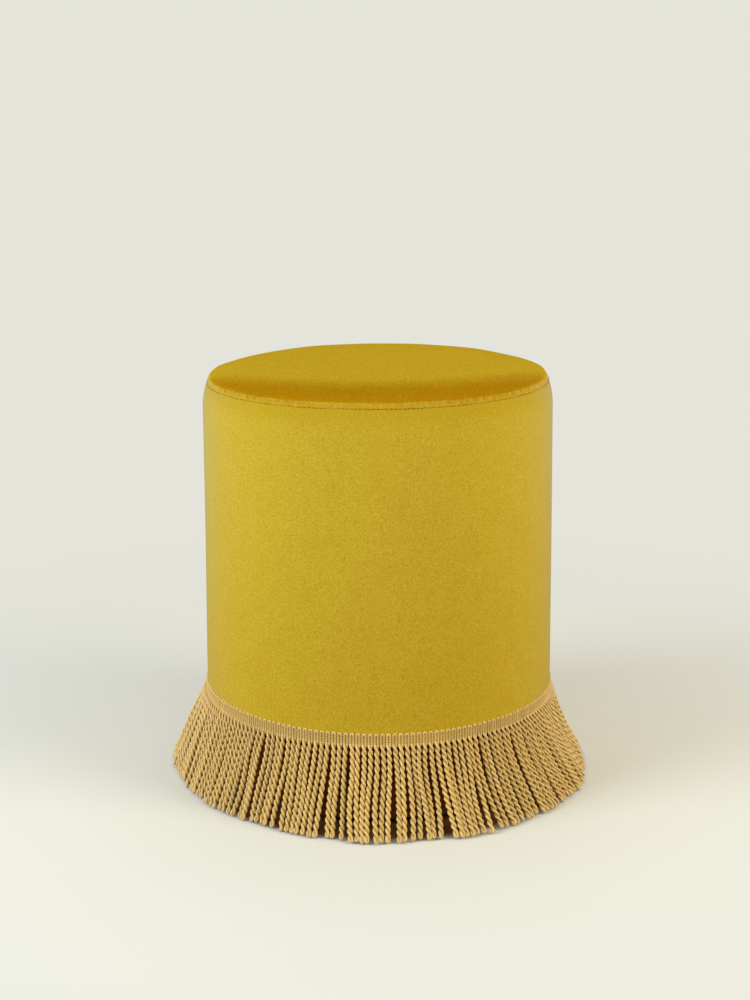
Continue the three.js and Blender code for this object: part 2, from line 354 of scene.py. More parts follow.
def make_piece(
    name: str,
    points: np.ndarray,
    faces: np.ndarray,
    finish: Finish,
    stands_for: Sequence[str] = (),
    weld: bool = True,
) -> bpy.types.Object:
    """Makes one mesh piece, dresses it and fastens it to the frame.

    Args:
        name: Name of the piece.
        points: Its points in millimetres, of any shape that ends in 3.
        faces: Point numbers of its quads.
        finish: The finish that it takes.
        stands_for: The frame's nodes that it replaces.
        weld: Whether points at one place, as on the axis, are merged.

    Returns:
        The new object.
    """
    flat = points.reshape(-1, 3) * MM
    mesh = bpy.data.meshes.new(name)
    mesh.vertices.add(len(flat))
    mesh.vertices.foreach_set("co", flat.astype(np.float32).ravel())
    mesh.loops.add(faces.size)
    mesh.loops.foreach_set("vertex_index", faces.astype(np.int32).ravel())
    mesh.polygons.add(len(faces))
    mesh.polygons.foreach_set("loop_start", np.arange(0, faces.size, faces.shape[1], dtype=np.int32))
    mesh.update(calc_edges=True)
    if weld:
        work = bmesh.new()
        work.from_mesh(mesh)
        bmesh.ops.remove_doubles(work, verts=work.verts, dist=0.001 * MM)
        bmesh.ops.recalc_face_normals(work, faces=work.faces)
        work.to_mesh(mesh)
        work.free()
    mesh.polygons.foreach_set("use_smooth", np.ones(len(mesh.polygons), bool))
    mesh.materials.append(finish.material())
    piece = bpy.data.objects.new(name, mesh)
    bpy.context.scene.collection.objects.link(piece)
    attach(piece, BODY)
    if stands_for:
        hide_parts(*stands_for)
    LOG.info("%s: %d faces, for %s", name, len(mesh.polygons), ", ".join(stands_for) or "no node")
    return piece


# Finishes


class Nap(Enum):
    """How the pile of a velvet panel lies, and where shade is painted on it."""

    UPRIGHT = "stands evenly, as on the taut side"
    # painted shade: the seat's top is painted a deeper gold, and its front a darker, redder gold
    SHADED_SEAT = "is stroked flat towards the front, as on the seat"


@dataclass(frozen=True)
class CottonVelvet(Finish):
    """Cotton velvet, woven with a short cut pile.

    The pile gives a deep colour with a fine grain of lit and shaded tufts, painted as glints and shade, and
    its fibre tips a pale soft sheen where it is seen at a slant. Shade is painted in as well: dark brown
    behind the cords, a darker band below the seam, a deeper colour towards the foot, and on the seat a deeper
    top and a darker, redder front.
    """

    nap: Nap = Nap.UPRIGHT
    # colours of the pile with painted light and with painted shade, which the grain mixes
    lit: str = "#DABB3D"
    shaded: str = "#B7940E"
    top_lit: str = "#D3B132"  # on top of the seat, painted deeper than the side, as shade
    top_shaded: str = "#B38C07"
    # painted shade on the front of the seat
    front_shade: str = "#A67300"
    # painted shade on the pile behind the cords
    shade_behind_cords: str = "#6E3C08"
    sheen_tint: str = "#CDF4F6"
    sheen: float = 0.58
    sheen_roughness: float = 0.4
    roughness: float = 0.85
    tuft: float = 1.45  # a real tuft is about 0.3 mm across; it is drawn coarser so that the grain shows
    shaded_grain: float = 0.28  # grain at which the pile is all shaded
    lit_grain: float = 0.88  # and at which it is all lit
    mottle: float = 22.0
    mottle_share: float = 0.16
    foot: tuple[float, float] = (82.8, 401.4)  # heights over which the painted shade of the foot fades out
    foot_shade_sheen: float = 0.34  # towards the foot the sheen weakens to this, and the colour is painted deeper, as shade
    foot_painted_shade: float = 0.07
    shade_behind_cords_heights: tuple[float, float] = (92.0, 86.0)  # heights over which the shade behind the cords is painted on the pile
    streaks: tuple[float, float] = (401.0, 446.0)  # heights over which the seam's pull draws streaks, painted as lit and shaded pile
    streak_width: float = 2.2
    streak_length: float = 16.0
    streak_share: float = 0.55
    gathered: tuple[float, float] = (410.0, 438.0)  # and over which a darker band is painted below the seam, as shade
    seam_shade_share: float = 1.2
    turning: tuple[float, float] = (0.42, 0.58)  # upright part of the normal, from side to top, over which the top's painted shade takes over
    side_as_top: float = 0.4  # how much of the top's painted shade the strip above the seam takes
    front_shade_edge: float = -127.0  # where the painted shade of the front begins in the middle of the seat
    front_shade_bow: float = 2.7  # how its edge curves back, per metre across
    front_shade_softness: float = 34.0
    mean_grain: float = 0.58
    weakest_shade_grain: float = 0.73  # grain at which the front's painted shade is weakest
    whole_shade_grain: float = 0.43  # and at which it is whole
    least_front_shade: float = 0.72

    def surface(self, add: NodeAdder, place: bpy.types.NodeSocket) -> bpy.types.Node:
        """Adds the nodes of the velvet; see Finish.surface."""
        tufts = add("ShaderNodeTexNoise", {
            "Vector": place, "Scale": per_metre(self.tuft), "Detail": 1.0, "Roughness": 0.6})
        mottling = add("ShaderNodeTexNoise", {
            "Vector": place, "Scale": per_metre(self.mottle), "Detail": 4.0, "Roughness": 0.65})
        upright = add("ShaderNodeMapping", {
            "Vector": place, "Scale": (1.0, 1.0, self.streak_width / self.streak_length)})
        streaks = add("ShaderNodeTexNoise", {
            "Vector": upright, "Scale": per_metre(self.streak_width), "Detail": 2.0})
        height = add("ShaderNodeSeparateXYZ", {"Vector": place}).outputs["Z"]
        pulled = add("ShaderNodeMapRange", {
            "Value": height, "From Min": self.streaks[0] * MM, "From Max": self.streaks[1] * MM,
            "To Max": self.streak_share}, **SMOOTH)
        from_mean = add("ShaderNodeMath", {0: streaks, 1: 0.5}, operation="SUBTRACT")
        streaked = add("ShaderNodeMath", {0: from_mean, 1: pulled, 2: tufts}, operation="MULTIPLY_ADD")
        grain = add("ShaderNodeMath", {
            0: mottling, 1: self.mottle_share, 2: streaked}, operation="MULTIPLY_ADD")
        # painted shade: the pile's colour deepens towards the foot
        foot = add("ShaderNodeMapRange", {
            "Value": height, "From Min": self.foot[0] * MM, "From Max": self.foot[1] * MM,
            "To Min": 1.0, "To Max": 0.0}, **SMOOTH)
        foot_shaded_grain = add("ShaderNodeMath", {0: foot, 1: -self.foot_painted_shade, 2: grain}, operation="MULTIPLY_ADD")
        share = add("ShaderNodeMapRange", {
            "Value": foot_shaded_grain, "From Min": self.shaded_grain, "From Max": self.lit_grain})
        colour = add("ShaderNodeMix", {0: share, 6: self.shaded, 7: self.lit}, data_type="RGBA")
        # painted shade: the pile behind the cords turns dark brown
        shaded_behind_cords = add("ShaderNodeMapRange", {
            "Value": height, "From Min": self.shade_behind_cords_heights[0] * MM,
            "From Max": self.shade_behind_cords_heights[1] * MM}, **SMOOTH)
        colour = add("ShaderNodeMix", {0: shaded_behind_cords, 6: colour, 7: self.shade_behind_cords}, data_type="RGBA")
        if self.nap is Nap.SHADED_SEAT:
            # painted shade: the top, picked out by its upright normal, takes a deeper colour and no sheen
            normal = add("ShaderNodeSeparateXYZ", {"Vector": add("ShaderNodeNewGeometry").outputs["Normal"]})
            on_top = add("ShaderNodeMapRange", {
                "Value": normal.outputs["Z"], "From Min": self.turning[0], "From Max": self.turning[1],
                "To Min": self.side_as_top}, **SMOOTH)
            shaded_top = add("ShaderNodeMix", {0: share, 6: self.top_shaded, 7: self.top_lit}, data_type="RGBA")
            top = self.shade_front(add, place, grain, shaded_top)
            colour = add("ShaderNodeMix", {0: on_top, 6: colour, 7: top}, data_type="RGBA")
            sheen = add("ShaderNodeMapRange", {"Value": on_top, "To Min": self.sheen, "To Max": 0.0})
        else:
            # painted shade: a darker band below the seam, drawn in streaks
            seam_shade = add("ShaderNodeMapRange", {
                "Value": height, "From Min": self.gathered[0] * MM, "From Max": self.gathered[1] * MM,
                "To Max": self.seam_shade_share}, **SMOOTH)
            drawn = add("ShaderNodeMath", {0: seam_shade, 1: streaks}, operation="MULTIPLY")
            colour = add("ShaderNodeMix", {0: drawn, 6: colour, 7: self.shaded}, data_type="RGBA")
            sheen = add("ShaderNodeMapRange", {
                "Value": foot, "To Min": self.sheen, "To Max": self.foot_shade_sheen})
        pile = add("ShaderNodeBump", {"Strength": 0.5, "Distance": 0.3 * MM, "Height": tufts})
        return add("ShaderNodeBsdfPrincipled", {
            "Base Color": colour, "Roughness": self.roughness, "Specular IOR Level": 0.0,
            "Sheen Weight": sheen, "Sheen Roughness": self.sheen_roughness, "Sheen Tint": self.sheen_tint,
            "Normal": pile})

    def shade_front(
        self, add: NodeAdder, place: bpy.types.NodeSocket, grain: bpy.types.Node, colour: bpy.types.Node,
    ) -> bpy.types.Node:
        """Paints shade on the front of the seat, a darker, redder gold.

        Args:
            add: Adds a node to the material.
            place: Object coordinates, in metres.
            grain: The grain of the tufts, which makes the painted shade and its edge uneven.
            colour: Colour of the top, without the front's painted shade.

        Returns:
            The colour with the painted shade in it.
        """
        apart = add("ShaderNodeSeparateXYZ", {"Vector": place})
        across = add("ShaderNodeMath", {0: apart.outputs["X"], 1: apart.outputs["X"]}, operation="MULTIPLY")
        bowed = add("ShaderNodeMath", {
            0: across, 1: -self.front_shade_bow, 2: apart.outputs["Y"]}, operation="MULTIPLY_ADD")
        reach = self.front_shade_softness * MM
        wandering = add("ShaderNodeMath", {0: grain, 1: reach, 2: bowed}, operation="MULTIPLY_ADD")
        edge = self.front_shade_edge * MM + self.mean_grain * reach
        front_shaded = add("ShaderNodeMapRange", {
            "Value": wandering, "From Min": edge + reach, "From Max": edge - reach}, **SMOOTH)
        ragged = add("ShaderNodeMapRange", {
            "Value": grain, "From Min": self.weakest_shade_grain, "From Max": self.whole_shade_grain,
            "To Min": self.least_front_shade})
        share = add("ShaderNodeMath", {0: front_shaded, 1: ragged}, operation="MULTIPLY")
        return add("ShaderNodeMix", {0: share, 6: colour, 7: self.front_shade}, data_type="RGBA")


@dataclass(frozen=True)
class BullionYarn(Finish):
    """Mercerised cotton yarn, twisted hard into plies.

    Mercerising gives it a pale silky lustre. The crests of the twist are painted a pale cream and the grooves
    between the plies a deeper olive gold: painted light and shade on one yarn.
    """

    # painted light on the crests and painted shade in the grooves of one yarn
    lit_cream: str = "#E2BF7C"
    shaded_olive: str = "#C09A2F"
    roughness: float = 0.42
    sheen: float = 0.75
    sheen_tint: str = "#FFF3BE"
    fibre: float = 0.6  # a real fibre is hair-thin; it is drawn coarser so that the twist shows
    unevenness: float = 0.4  # how much the dye varies along the yarn
    cream_groove: float = 0.15  # share of painted shade at which the yarn is all cream
    olive_groove: float = 1.15  # and at which it is all olive

    def surface(self, add: NodeAdder, place: bpy.types.NodeSocket) -> bpy.types.Node:
        """Adds the nodes of the yarn; see Finish.surface."""
        groove_shade = add("ShaderNodeAttribute", attribute_name="groove_shade").outputs["Fac"]
        tone_and_shade = add("ShaderNodeAttribute", attribute_name="tone_and_shade").outputs["Fac"]
        fibres = add("ShaderNodeTexNoise", {"Vector": place, "Scale": per_metre(self.fibre), "Detail": 1.0})
        dye = add("ShaderNodeTexNoise", {"Vector": place, "Scale": per_metre(6 * self.fibre), "Detail": 1.0})
        deep = add("ShaderNodeMath", {0: dye, 1: self.unevenness, 2: groove_shade}, operation="MULTIPLY_ADD")
        share = add("ShaderNodeMapRange", {
            "Value": deep, "From Min": self.cream_groove, "From Max": self.olive_groove})
        colour = add("ShaderNodeMix", {0: share, 6: self.lit_cream, 7: self.shaded_olive}, data_type="RGBA")
        toned = add("ShaderNodeHueSaturation", {"Color": colour, "Value": tone_and_shade})
        relief = add("ShaderNodeBump", {"Strength": 0.35, "Distance": 0.12 * MM, "Height": fibres})
        return add("ShaderNodeBsdfPrincipled", {
            "Base Color": toned, "Roughness": self.roughness, "Specular IOR Level": 0.4,
            "Sheen Weight": self.sheen, "Sheen Roughness": 0.5, "Sheen Tint": self.sheen_tint,
            "Normal": relief})


class Layers(Enum):
    """Which way the veneers of a ply lie."""

    FLAT = "across the height of a flat board"
    WRAPPED = "round the bent skin"


@dataclass(frozen=True)
class BirchPly(Finish):
    """Birch plywood, sawn and lightly sanded: pale faces, with fine brown glue lines between the veneers."""

    layers: Layers = Layers.FLAT
    veneer: str = "#D8B98A"
    crossed: str = "#B98F5C"
    veneer_thickness: float = 1.5
    grain_width: float = 2.5
    grain_length: float = 60.0

    def surface(self, add: NodeAdder, place: bpy.types.NodeSocket) -> bpy.types.Node:
        """Adds the nodes of the plywood; see Finish.surface."""
        flat = self.layers is Layers.FLAT
        stretch = (self.grain_width / self.grain_length, 1.0, 1.0) if flat else (1.0, 1.0, 0.05)
        long_grain = add("ShaderNodeMapping", {"Vector": place, "Scale": stretch})
        grain = add("ShaderNodeTexNoise", {
            "Vector": long_grain, "Scale": per_metre(self.grain_width), "Detail": 4.0})
        settings = {"bands_direction": "Z"} if flat else {"wave_type": "RINGS", "rings_direction": "Z"}
        veneers = add("ShaderNodeTexWave", {
            "Vector": place, "Scale": waves_per_metre(2 * self.veneer_thickness)}, **settings)
        share = add("ShaderNodeMath", {0: grain, 1: veneers.outputs["Fac"]}, operation="MULTIPLY")
        return coated(add, share, (self.veneer, self.crossed), {"Roughness": 0.7}, (grain, 0.3, 0.1))


@dataclass(frozen=True)
class PlanedPine(Finish):
    """Pine, planed on four sides: straight dark latewood lines on a pale yellow ground."""

    earlywood: str = "#E3C48D"
    latewood: str = "#B98347"
    ring_width: float = 3.0
    grain_length: float = 120.0

    def surface(self, add: NodeAdder, place: bpy.types.NodeSocket) -> bpy.types.Node:
        """Adds the nodes of the pine; see Finish.surface."""
        upright = add("ShaderNodeMapping", {
            "Vector": place, "Scale": (1.0, 1.0, self.ring_width / self.grain_length)})
        rings = add("ShaderNodeTexWave", {
            "Vector": upright, "Scale": waves_per_metre(self.ring_width), "Distortion": 3.0, "Detail": 2.0,
            "Detail Scale": 0.4}, wave_type="RINGS", rings_direction="Z").outputs["Fac"]
        return coated(add, rings, (self.earlywood, self.latewood), {"Roughness": 0.6}, (rings, 0.25, 0.1))


@dataclass(frozen=True)
class SoftFill(Finish):
    """A filling under the velvet: cut polyurethane foam with open cells, or carded polyester wadding."""

    light: str = "#EDE4BF"
    dark: str = "#D9CB97"
    cell: float = 1.2
    relief: float = 0.5

    def surface(self, add: NodeAdder, place: bpy.types.NodeSocket) -> bpy.types.Node:
        """Adds the nodes of the filling; see Finish.surface."""
        cells = add("ShaderNodeTexVoronoi", {"Vector": place, "Scale": per_metre(self.cell)})
        clouds = add("ShaderNodeTexNoise", {
            "Vector": place, "Scale": per_metre(20 * self.cell), "Detail": 3.0})
        shader = {"Roughness": 0.95, "Specular IOR Level": 0.1}
        return coated(add, clouds, (self.light, self.dark), shader, (cells, 0.6, self.relief))


@dataclass(frozen=True)
class SpunBondCloth(Finish):
    """Spun-bonded polypropylene, a thin black dust cover: dull, with a grid of small bond points."""

    ground: str = "#232221"
    fibre: str = "#34322F"
    bond_spacing: float = 1.4

    def surface(self, add: NodeAdder, place: bpy.types.NodeSocket) -> bpy.types.Node:
        """Adds the nodes of the dust cover; see Finish.surface."""
        bonds = add("ShaderNodeTexVoronoi", {
            "Vector": place, "Scale": per_metre(self.bond_spacing), "Randomness": 0.15})
        fibres = add("ShaderNodeTexNoise", {
            "Vector": place, "Scale": per_metre(2 * self.bond_spacing), "Detail": 5.0})
        shader = {"Roughness": 0.8, "Specular IOR Level": 0.3}
        return coated(add, fibres, (self.ground, self.fibre), shader, (bonds, 0.5, 0.1))


@dataclass(frozen=True)
class MouldedNylon(Finish):
    """Injection-moulded nylon of the glides: dark brown, satin, faintly scuffed on the sole."""

    colour: str = "#2E2925"
    scuffed: str = "#453E38"
    scuff: float = 3.0

    def surface(self, add: NodeAdder, place: bpy.types.NodeSocket) -> bpy.types.Node:
        """Adds the nodes of the nylon; see Finish.surface."""
        scuffs = add("ShaderNodeTexNoise", {
            "Vector": place, "Scale": per_metre(self.scuff), "Detail": 6.0, "Roughness": 0.7})
        gloss = add("ShaderNodeMapRange", {"Value": scuffs, "To Min": 0.35, "To Max": 0.6})
        return coated(add, scuffs, (self.colour, self.scuffed), {"Roughness": gloss, "IOR": 1.53})


@dataclass(frozen=True)
class ZincPlatedSteel(Finish):
    """Steel wire or screw, bright zinc plated: a cool grey metal with a faintly cloudy gloss."""

    bright: str = "#C9CACB"
    cloudy: str = "#AEB0B2"
    cloud: float = 1.5

    def surface(self, add: NodeAdder, place: bpy.types.NodeSocket) -> bpy.types.Node:
        """Adds the nodes of the steel; see Finish.surface."""
        clouds = add("ShaderNodeTexNoise", {"Vector": place, "Scale": per_metre(self.cloud), "Detail": 3.0})
        gloss = add("ShaderNodeMapRange", {"Value": clouds, "To Min": 0.25, "To Max": 0.42})
        return coated(add, clouds, (self.bright, self.cloudy), {"Metallic": 1.0, "Roughness": gloss})


@dataclass(frozen=True)
class SewingThread(Finish):
    """Bonded polyester thread, three plies laid together: fine slanting highlights along each stitch, and a
    gold painted darker than the velvet's, as the shade of the dents that the stitches sink into.
    """

    # painted shade: both tones are darker than the velvet's gold, as the shade in the stitches' dents
    light: str = "#A88208"
    dark: str = "#866606"
    ply: float = 0.4

    def surface(self, add: NodeAdder, place: bpy.types.NodeSocket) -> bpy.types.Node:
        """Adds the nodes of the thread; see Finish.surface."""
        twist = add("ShaderNodeTexWave", {
            "Vector": place, "Scale": waves_per_metre(self.ply), "Distortion": 1.0},
            bands_direction="DIAGONAL").outputs["Fac"]
        return coated(add, twist, (self.dark, self.light), {"Roughness": 0.6, "Specular IOR Level": 0.1})


SIDE_VELVET = CottonVelvet("cotton_velvet_side")
SEAT_VELVET = CottonVelvet("cotton_velvet_seat", nap=Nap.SHADED_SEAT)
YARN = BullionYarn("mercerised_bullion_yarn")
BOARD_PLY = BirchPly("birch_ply_board")
BENT_PLY = BirchPly("birch_ply_bent", layers=Layers.WRAPPED)
PINE = PlanedPine("planed_pine")
FOAM = SoftFill("cut_polyurethane_foam")
WADDING = SoftFill("carded_polyester_wadding", light="#F6F5F1", dark="#E4E2DB", cell=3.0, relief=0.8)
DUST_CLOTH = SpunBondCloth("spun_bond_dust_cover")
NYLON = MouldedNylon("moulded_nylon")
STEEL = ZincPlatedSteel("zinc_plated_steel")
SHADED_THREAD = SewingThread("bonded_polyester_thread_shaded")


# The drum's outline, which all the soft layers follow


@dataclass(frozen=True)
class DrumOutline:
    """Outer face of the velvet, with its heights taken from the frame."""

    seam_height: float
    hem_height: float
    rim_height: float
    radius: float = 190.0
    base_flare: float = 3.5
    rim_draw_in: float = 8.0
    shoulder_drop: float = 34.0
    crown_rise: float = 9.0
    crown_power: float = 7.0  # how flat the seat stays before it falls to the rim
    fuller: float = 3.0  # how much higher the filled seat stands than the frame's plain solid
    velvet: float = 1.5
    fit: float = 0.3
    settling: float = 1.5  # how much lower the rim has settled towards -X
    settled_from: float = 300.0  # height from which it has

    @classmethod
    def from_frame(cls) -> DrumOutline:
        """Reads the heights from the boxes of the velvet's nodes.

        Returns:
            The outline.
        """
        panel_low, panel_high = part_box("velvet_top")
        sleeve_low, sleeve_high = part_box("velvet_side")
        return cls(
            seam_height=(panel_low.z + sleeve_high.z) / 2 / MM,
            hem_height=sleeve_low.z / MM,
            rim_height=panel_high.z / MM + cls.fuller - cls.crown_rise,
        )

    def side(self, height: np.ndarray) -> np.ndarray:
        """Gives the radius of the side: a slight taper, then a shoulder that draws in to the rim.

        Args:
            height: Heights above the floor.

        Returns:
            The radius at each height.
        """
        straight = self.rim_height - self.shoulder_drop
        taper = self.radius + self.base_flare * (1 - height / straight)
        shoulder = self.radius - self.rim_draw_in * ((height - straight) / self.shoulder_drop) ** 2
        return np.where(height <= straight, taper, shoulder)

    def wall(self, heights: np.ndarray, depth: float = 0.0) -> np.ndarray:
        """Gives the side's points as (radius, height), at a depth under the velvet's face."""
        return np.stack([self.side(heights) - depth, heights], axis=-1)

    def settled(self, points: np.ndarray) -> np.ndarray:
        """Lowers the points near the rim a little towards -X, where the filling has settled.

        Args:
            points: The points, of any shape that ends in 3.

        Returns:
            The lowered points, shaped like points.
        """
        lowered = points.copy()
        leftwards = smoothstep(0, self.radius, -points[..., 0])
        upwards = smoothstep(self.settled_from, self.seam_height, points[..., 2])
        lowered[..., 2] -= self.settling * (leftwards * upwards)
        return lowered

    def crown(self, radius: np.ndarray, depth: float) -> np.ndarray:
        """Gives the height of the seat at a radius, at a depth under the velvet's face.

        Args:
            radius: Distances from the axis.
            depth: Depth under the velvet's face.

        Returns:
            The height at each radius.
        """
        rim = self.rim_height - depth
        edge = self.side(rim) - depth
        return rim + self.crown_rise * (1 - (radius / edge) ** self.crown_power)

    def seat(self, depth: float, start: float, rounding: float, rings: int) -> np.ndarray:
        """Outline of the seat from a height on its side to the middle of the top.

        Args:
            depth: Depth under the velvet's face.
            start: Height on the side where the outline starts.
            rounding: Size of the rounded rim.
            rings: Number of rings between the rim and the middle.

        Returns:
            The points as (radius, height).
        """
        rim = self.rim_height - depth
        edge = float(self.side(rim)) - depth
        side = self.wall(np.linspace(start, rim - rounding, 6), depth)
        inner = edge - rounding
        after = np.array([inner, self.crown(inner, depth)])
        fold = curve(side[-1], np.array([edge, rim]), after, np.linspace(0, 1, 7)[:, None])
        radii = inner * (1 - np.linspace(0, 1, rings + 1)[1:] ** 1.4)
        top = np.stack([radii, self.crown(radii, depth)], axis=-1)
        return np.concatenate([side[:-1], fold, top])

    def layer(
        self,
        name: str,
        outline: np.ndarray,
        sides: int,
        finish: Finish,
        slot: str,
        node: str,
        out: Any = 0.0,
        up: Any = 0.0,
    ) -> bpy.types.Object:
        """slot: The record's material slot; not used.
            node: The frame's node that it replaces.
            out: Extra radius, to be spread over (points, sides).
            up: Extra height, likewise.

        Returns:
            The layer's piece.
        """
        points = self.settled(revolved(outline, sides, out, up))
        faces = grid_faces(len(outline), sides, close_rows=True)
        return make_piece(name, points, faces, finish, [node])


# Seat and sleeve


@dataclass(frozen=True)
class SeamEdge:
    """What the seat panel and the sleeve share: their drum, their facets, and their edges at the seam."""

    drum: DrumOutline
    sides: int = 960
    seam_gap: float = 0.03  # from the seam's middle to either cloth
    seam_roll: float = 0.12  # how far the cloth rolls in at the seam
    cut_edge: float = 0.3  # how much of the cloth's thickness stands in the seam
    pucker: float = 0.22

    def roll(self, height: float) -> np.ndarray:
        """Gives the point where the cloth rolls in at the seam, as (radius, height)."""
        return self.drum.wall(np.array([height]), 0.9 * self.seam_roll)


@dataclass(frozen=True)
class SeatPanel(SeamEdge):
    """Round velvet panel over the seat, folded over the rim and turned down to the seam."""

    fold: float = 2.0
    rim_wander: float = 0.4  # how far the fold leaves a true circle
    rim_drop: float = 9.0  # and how far below the rim it does
    rim_sag: float = 0.2
    seat_wander: float = 0.4  # soft hollows in the filling
    hollows: tuple[float, float, float, float] = (31.0, 37.0, 17.0, 23.0)  # their sizes
    pucker_height: float = 2.2  # above the seam, where the puckers are deepest
    pucker_reach: float = 1.8
    cut_diameter: float = 400.0  # the panel and its turnings, as cut

    def build(self) -> None:
        drum = self.drum
        edge = drum.seam_height + self.seam_gap
        face = drum.seat(0, edge + self.seam_roll, self.fold, 40)
        back = drum.seat(drum.velvet, edge + self.seam_roll, self.fold, 12)[::-1]
        roll = self.roll(edge)
        outline = np.concatenate([roll, face, back, roll - [self.cut_edge, 0]])
        turn = steps_round(self.sides)
        radius, height = outline[:, 0, None], outline[:, 1, None]
        below_rim = drum.rim_height - height
        near_rim = smoothstep(0, 1, 1 - below_rim / self.rim_drop) * smoothstep(130, 180, radius)
        out = self.rim_wander * ripple(turn, (3, 5, 8, 13, 21), 4) * near_rim
        x, y = radius * np.cos(turn), radius * np.sin(turn)
        long, wide, short, narrow = self.hollows
        hollows = np.sin(x / long + 1.2) * np.sin(y / wide + 0.4) + 0.6 * np.sin(x / short - y / narrow)
        up = self.seat_wander * hollows * smoothstep(186, 150, radius)
        up = up + self.rim_sag * ripple(turn, (4, 9, 15), 8) * near_rim
        from_puckers = (height - drum.seam_height - self.pucker_height) / self.pucker_reach
        on_strip = np.exp(-(from_puckers**2)) * smoothstep(178, 182, radius)
        out = out + self.pucker * (1 + ripple(turn, (83, 109, 137, 171), 23)) * on_strip
        panel = drum.layer("seat_panel", outline, self.sides, SEAT_VELVET, "velvet", "velvet_top", out, up)


@dataclass(frozen=True)
class Sleeve(SeamEdge):
    """Velvet sleeve round the drum, joined at the back, with its hem turned in and stapled under the base."""

    pucker_reach: float = 10.0
    slack: float = 0.21
    slack_height: float = 61.0
    joint_depth: float = 1.0
    joint_width: float = 1.1
    joint_bulge: float = 0.35  # how far the cloth stands out beside the joint, as a share of its depth
    bulge_offset: float = 3.5  # from the joint to the middle of the bulge
    bulge_width: float = 2.5
    hem_width: float = 30.0
    hem_rounding: float = 3.0
    pleat: float = 0.55
    lining_radius: float = 178.0
    turning: float = 13.0  # seam allowance at the top, as cut

    def outline(self) -> np.ndarray:
        """Outline of the sleeve: its face from the seam down and under the base, and its back up again.

        Returns:
            The closed outline as (radius, height).
        """
        drum = self.drum
        top = drum.seam_height - self.seam_gap
        face = drum.wall(top - self.seam_roll - (top - 24) * np.linspace(0, 1, 46) ** 1.5)
        foot = (float(drum.side(0.0)), drum.hem_height, self.hem_rounding)
        hem_radius = drum.radius - self.hem_width
        under = rounded([(*face[-1], 0), foot, (hem_radius, 0, 0)], 6)[1:-1]
        hem = np.stack([np.linspace(under[-1, 0], hem_radius, 16)[1:], np.full(15, drum.hem_height)], axis=-1)
        inner = drum.hem_height + drum.velvet
        back = drum.wall(np.linspace(inner, top - self.seam_roll, 10), drum.velvet)
        roll, turned_in = self.roll(top), [[hem_radius, inner]]
        return np.concatenate([roll, face, under, hem, turned_in, back, roll - [self.cut_edge, 0]])

    def build(self) -> bpy.types.Object:
        """Makes the sleeve.

        Returns:
            The sleeve's piece.
        """
        drum = self.drum
        outline = self.outline()
        turn = steps_round(self.sides)
        radius, height = outline[:, 0, None], outline[:, 1, None]
        below_seam = drum.seam_height - height
        gathered = np.exp(-below_seam / self.pucker_reach) * smoothstep(0, 3, below_seam)
        puckers = ripple(turn, (71, 97, 118, 149, 196), 21) * (0.7 + 0.5 * ripple(turn, (2, 5, 9), 6))
        soft = ripple(turn, (3, 7, 11), 5) * np.sin(height / self.slack_height)
        soft = soft + 0.6 * ripple(turn, (5, 9), 3)
        out = self.pucker * puckers * gathered + self.slack * soft * smoothstep(0, 60, below_seam)
        from_joint = np.abs((turn - BACK + math.pi) % FULL_TURN - math.pi) * drum.radius
        joint = np.exp(-((from_joint / self.joint_width) ** 2))
        bulge = self.joint_bulge * np.exp(-(((from_joint - self.bulge_offset) / self.bulge_width) ** 2))
        outside = smoothstep(-1.2, -0.4, radius - drum.side(height)) * smoothstep(12, 20, height)
        out = (out - self.joint_depth * (joint - bulge)) * outside
        pleats = np.abs(ripple(turn, (37, 61, 88), 17)) * smoothstep(9, 7.5, height)
        lining = self.lining_radius
        window = smoothstep(lining + 1, lining + 5, radius) * smoothstep(drum.radius, drum.radius - 4, radius)
        up = -self.pleat * pleats * window
        return drum.layer("drum_sleeve", outline, self.sides, SIDE_VELVET, "velvet", "velvet_side", out, up)

    def declare(self, sleeve: bpy.types.Object, trim: Sequence[bpy.types.Object]) -> None:
        """Args:
            sleeve: The sleeve's piece; not used.
            trim: The pieces of the fringe that it carries; not used.
        """


@dataclass(frozen=True)
class Topstitch:
    """Row of topstitches that holds the seat panel to the sleeve."""

    drum: DrumOutline
    pitch: float = 4.4
    stitch: float = 3.0
    thread: float = 1.25
    sunk: float = 0.26
    uneven: float = 0.16  # how much deeper than that the pile takes the thread in places
    arching: float = 0.35  # how far a stitch's ends dip into the cloth
    place_error: float = 0.05  # spread of the stitches' places, as a share of the pitch
    length_error: float = 0.08  # of their lengths, as a share of the stitch
    slant_error: float = 0.25  # of the heights of their ends
    height_error: float = 0.22  # and of their middles

    def build(self) -> None:
        """Makes the stitches as short arched lengths of thread."""
        drum = self.drum
        radius = float(drum.side(drum.seam_height)) - self.sunk
        count = round(FULL_TURN * radius / self.pitch)
        rng = np.random.default_rng(12)
        middles = (np.arange(count) + rng.normal(0, self.place_error, count)) * FULL_TURN / count
        share = np.linspace(-1, 1, 9)
        lengths = self.stitch * rng.normal(1, self.length_error, count)[:, None]
        turn = middles[:, None] + share * lengths / 2 / radius
        buried = self.uneven * ripple(middles, (5, 9, 14, 23), 41)[:, None]
        slant = rng.normal(0, self.slant_error, count)[:, None] * share
        height = drum.seam_height + (slant + rng.normal(0, self.height_error, count)[:, None])
        path = polar(radius - buried - self.arching * share**4, turn, height)
        radii = self.thread / 2 * np.sqrt(np.clip(1 - share**6, 0, 1))
        points, faces = rods(path, polar(1, turn, 0), radii)
        make_piece("seam_topstitch", drum.settled(points), faces, SHADED_THREAD)


# Bullion fringe


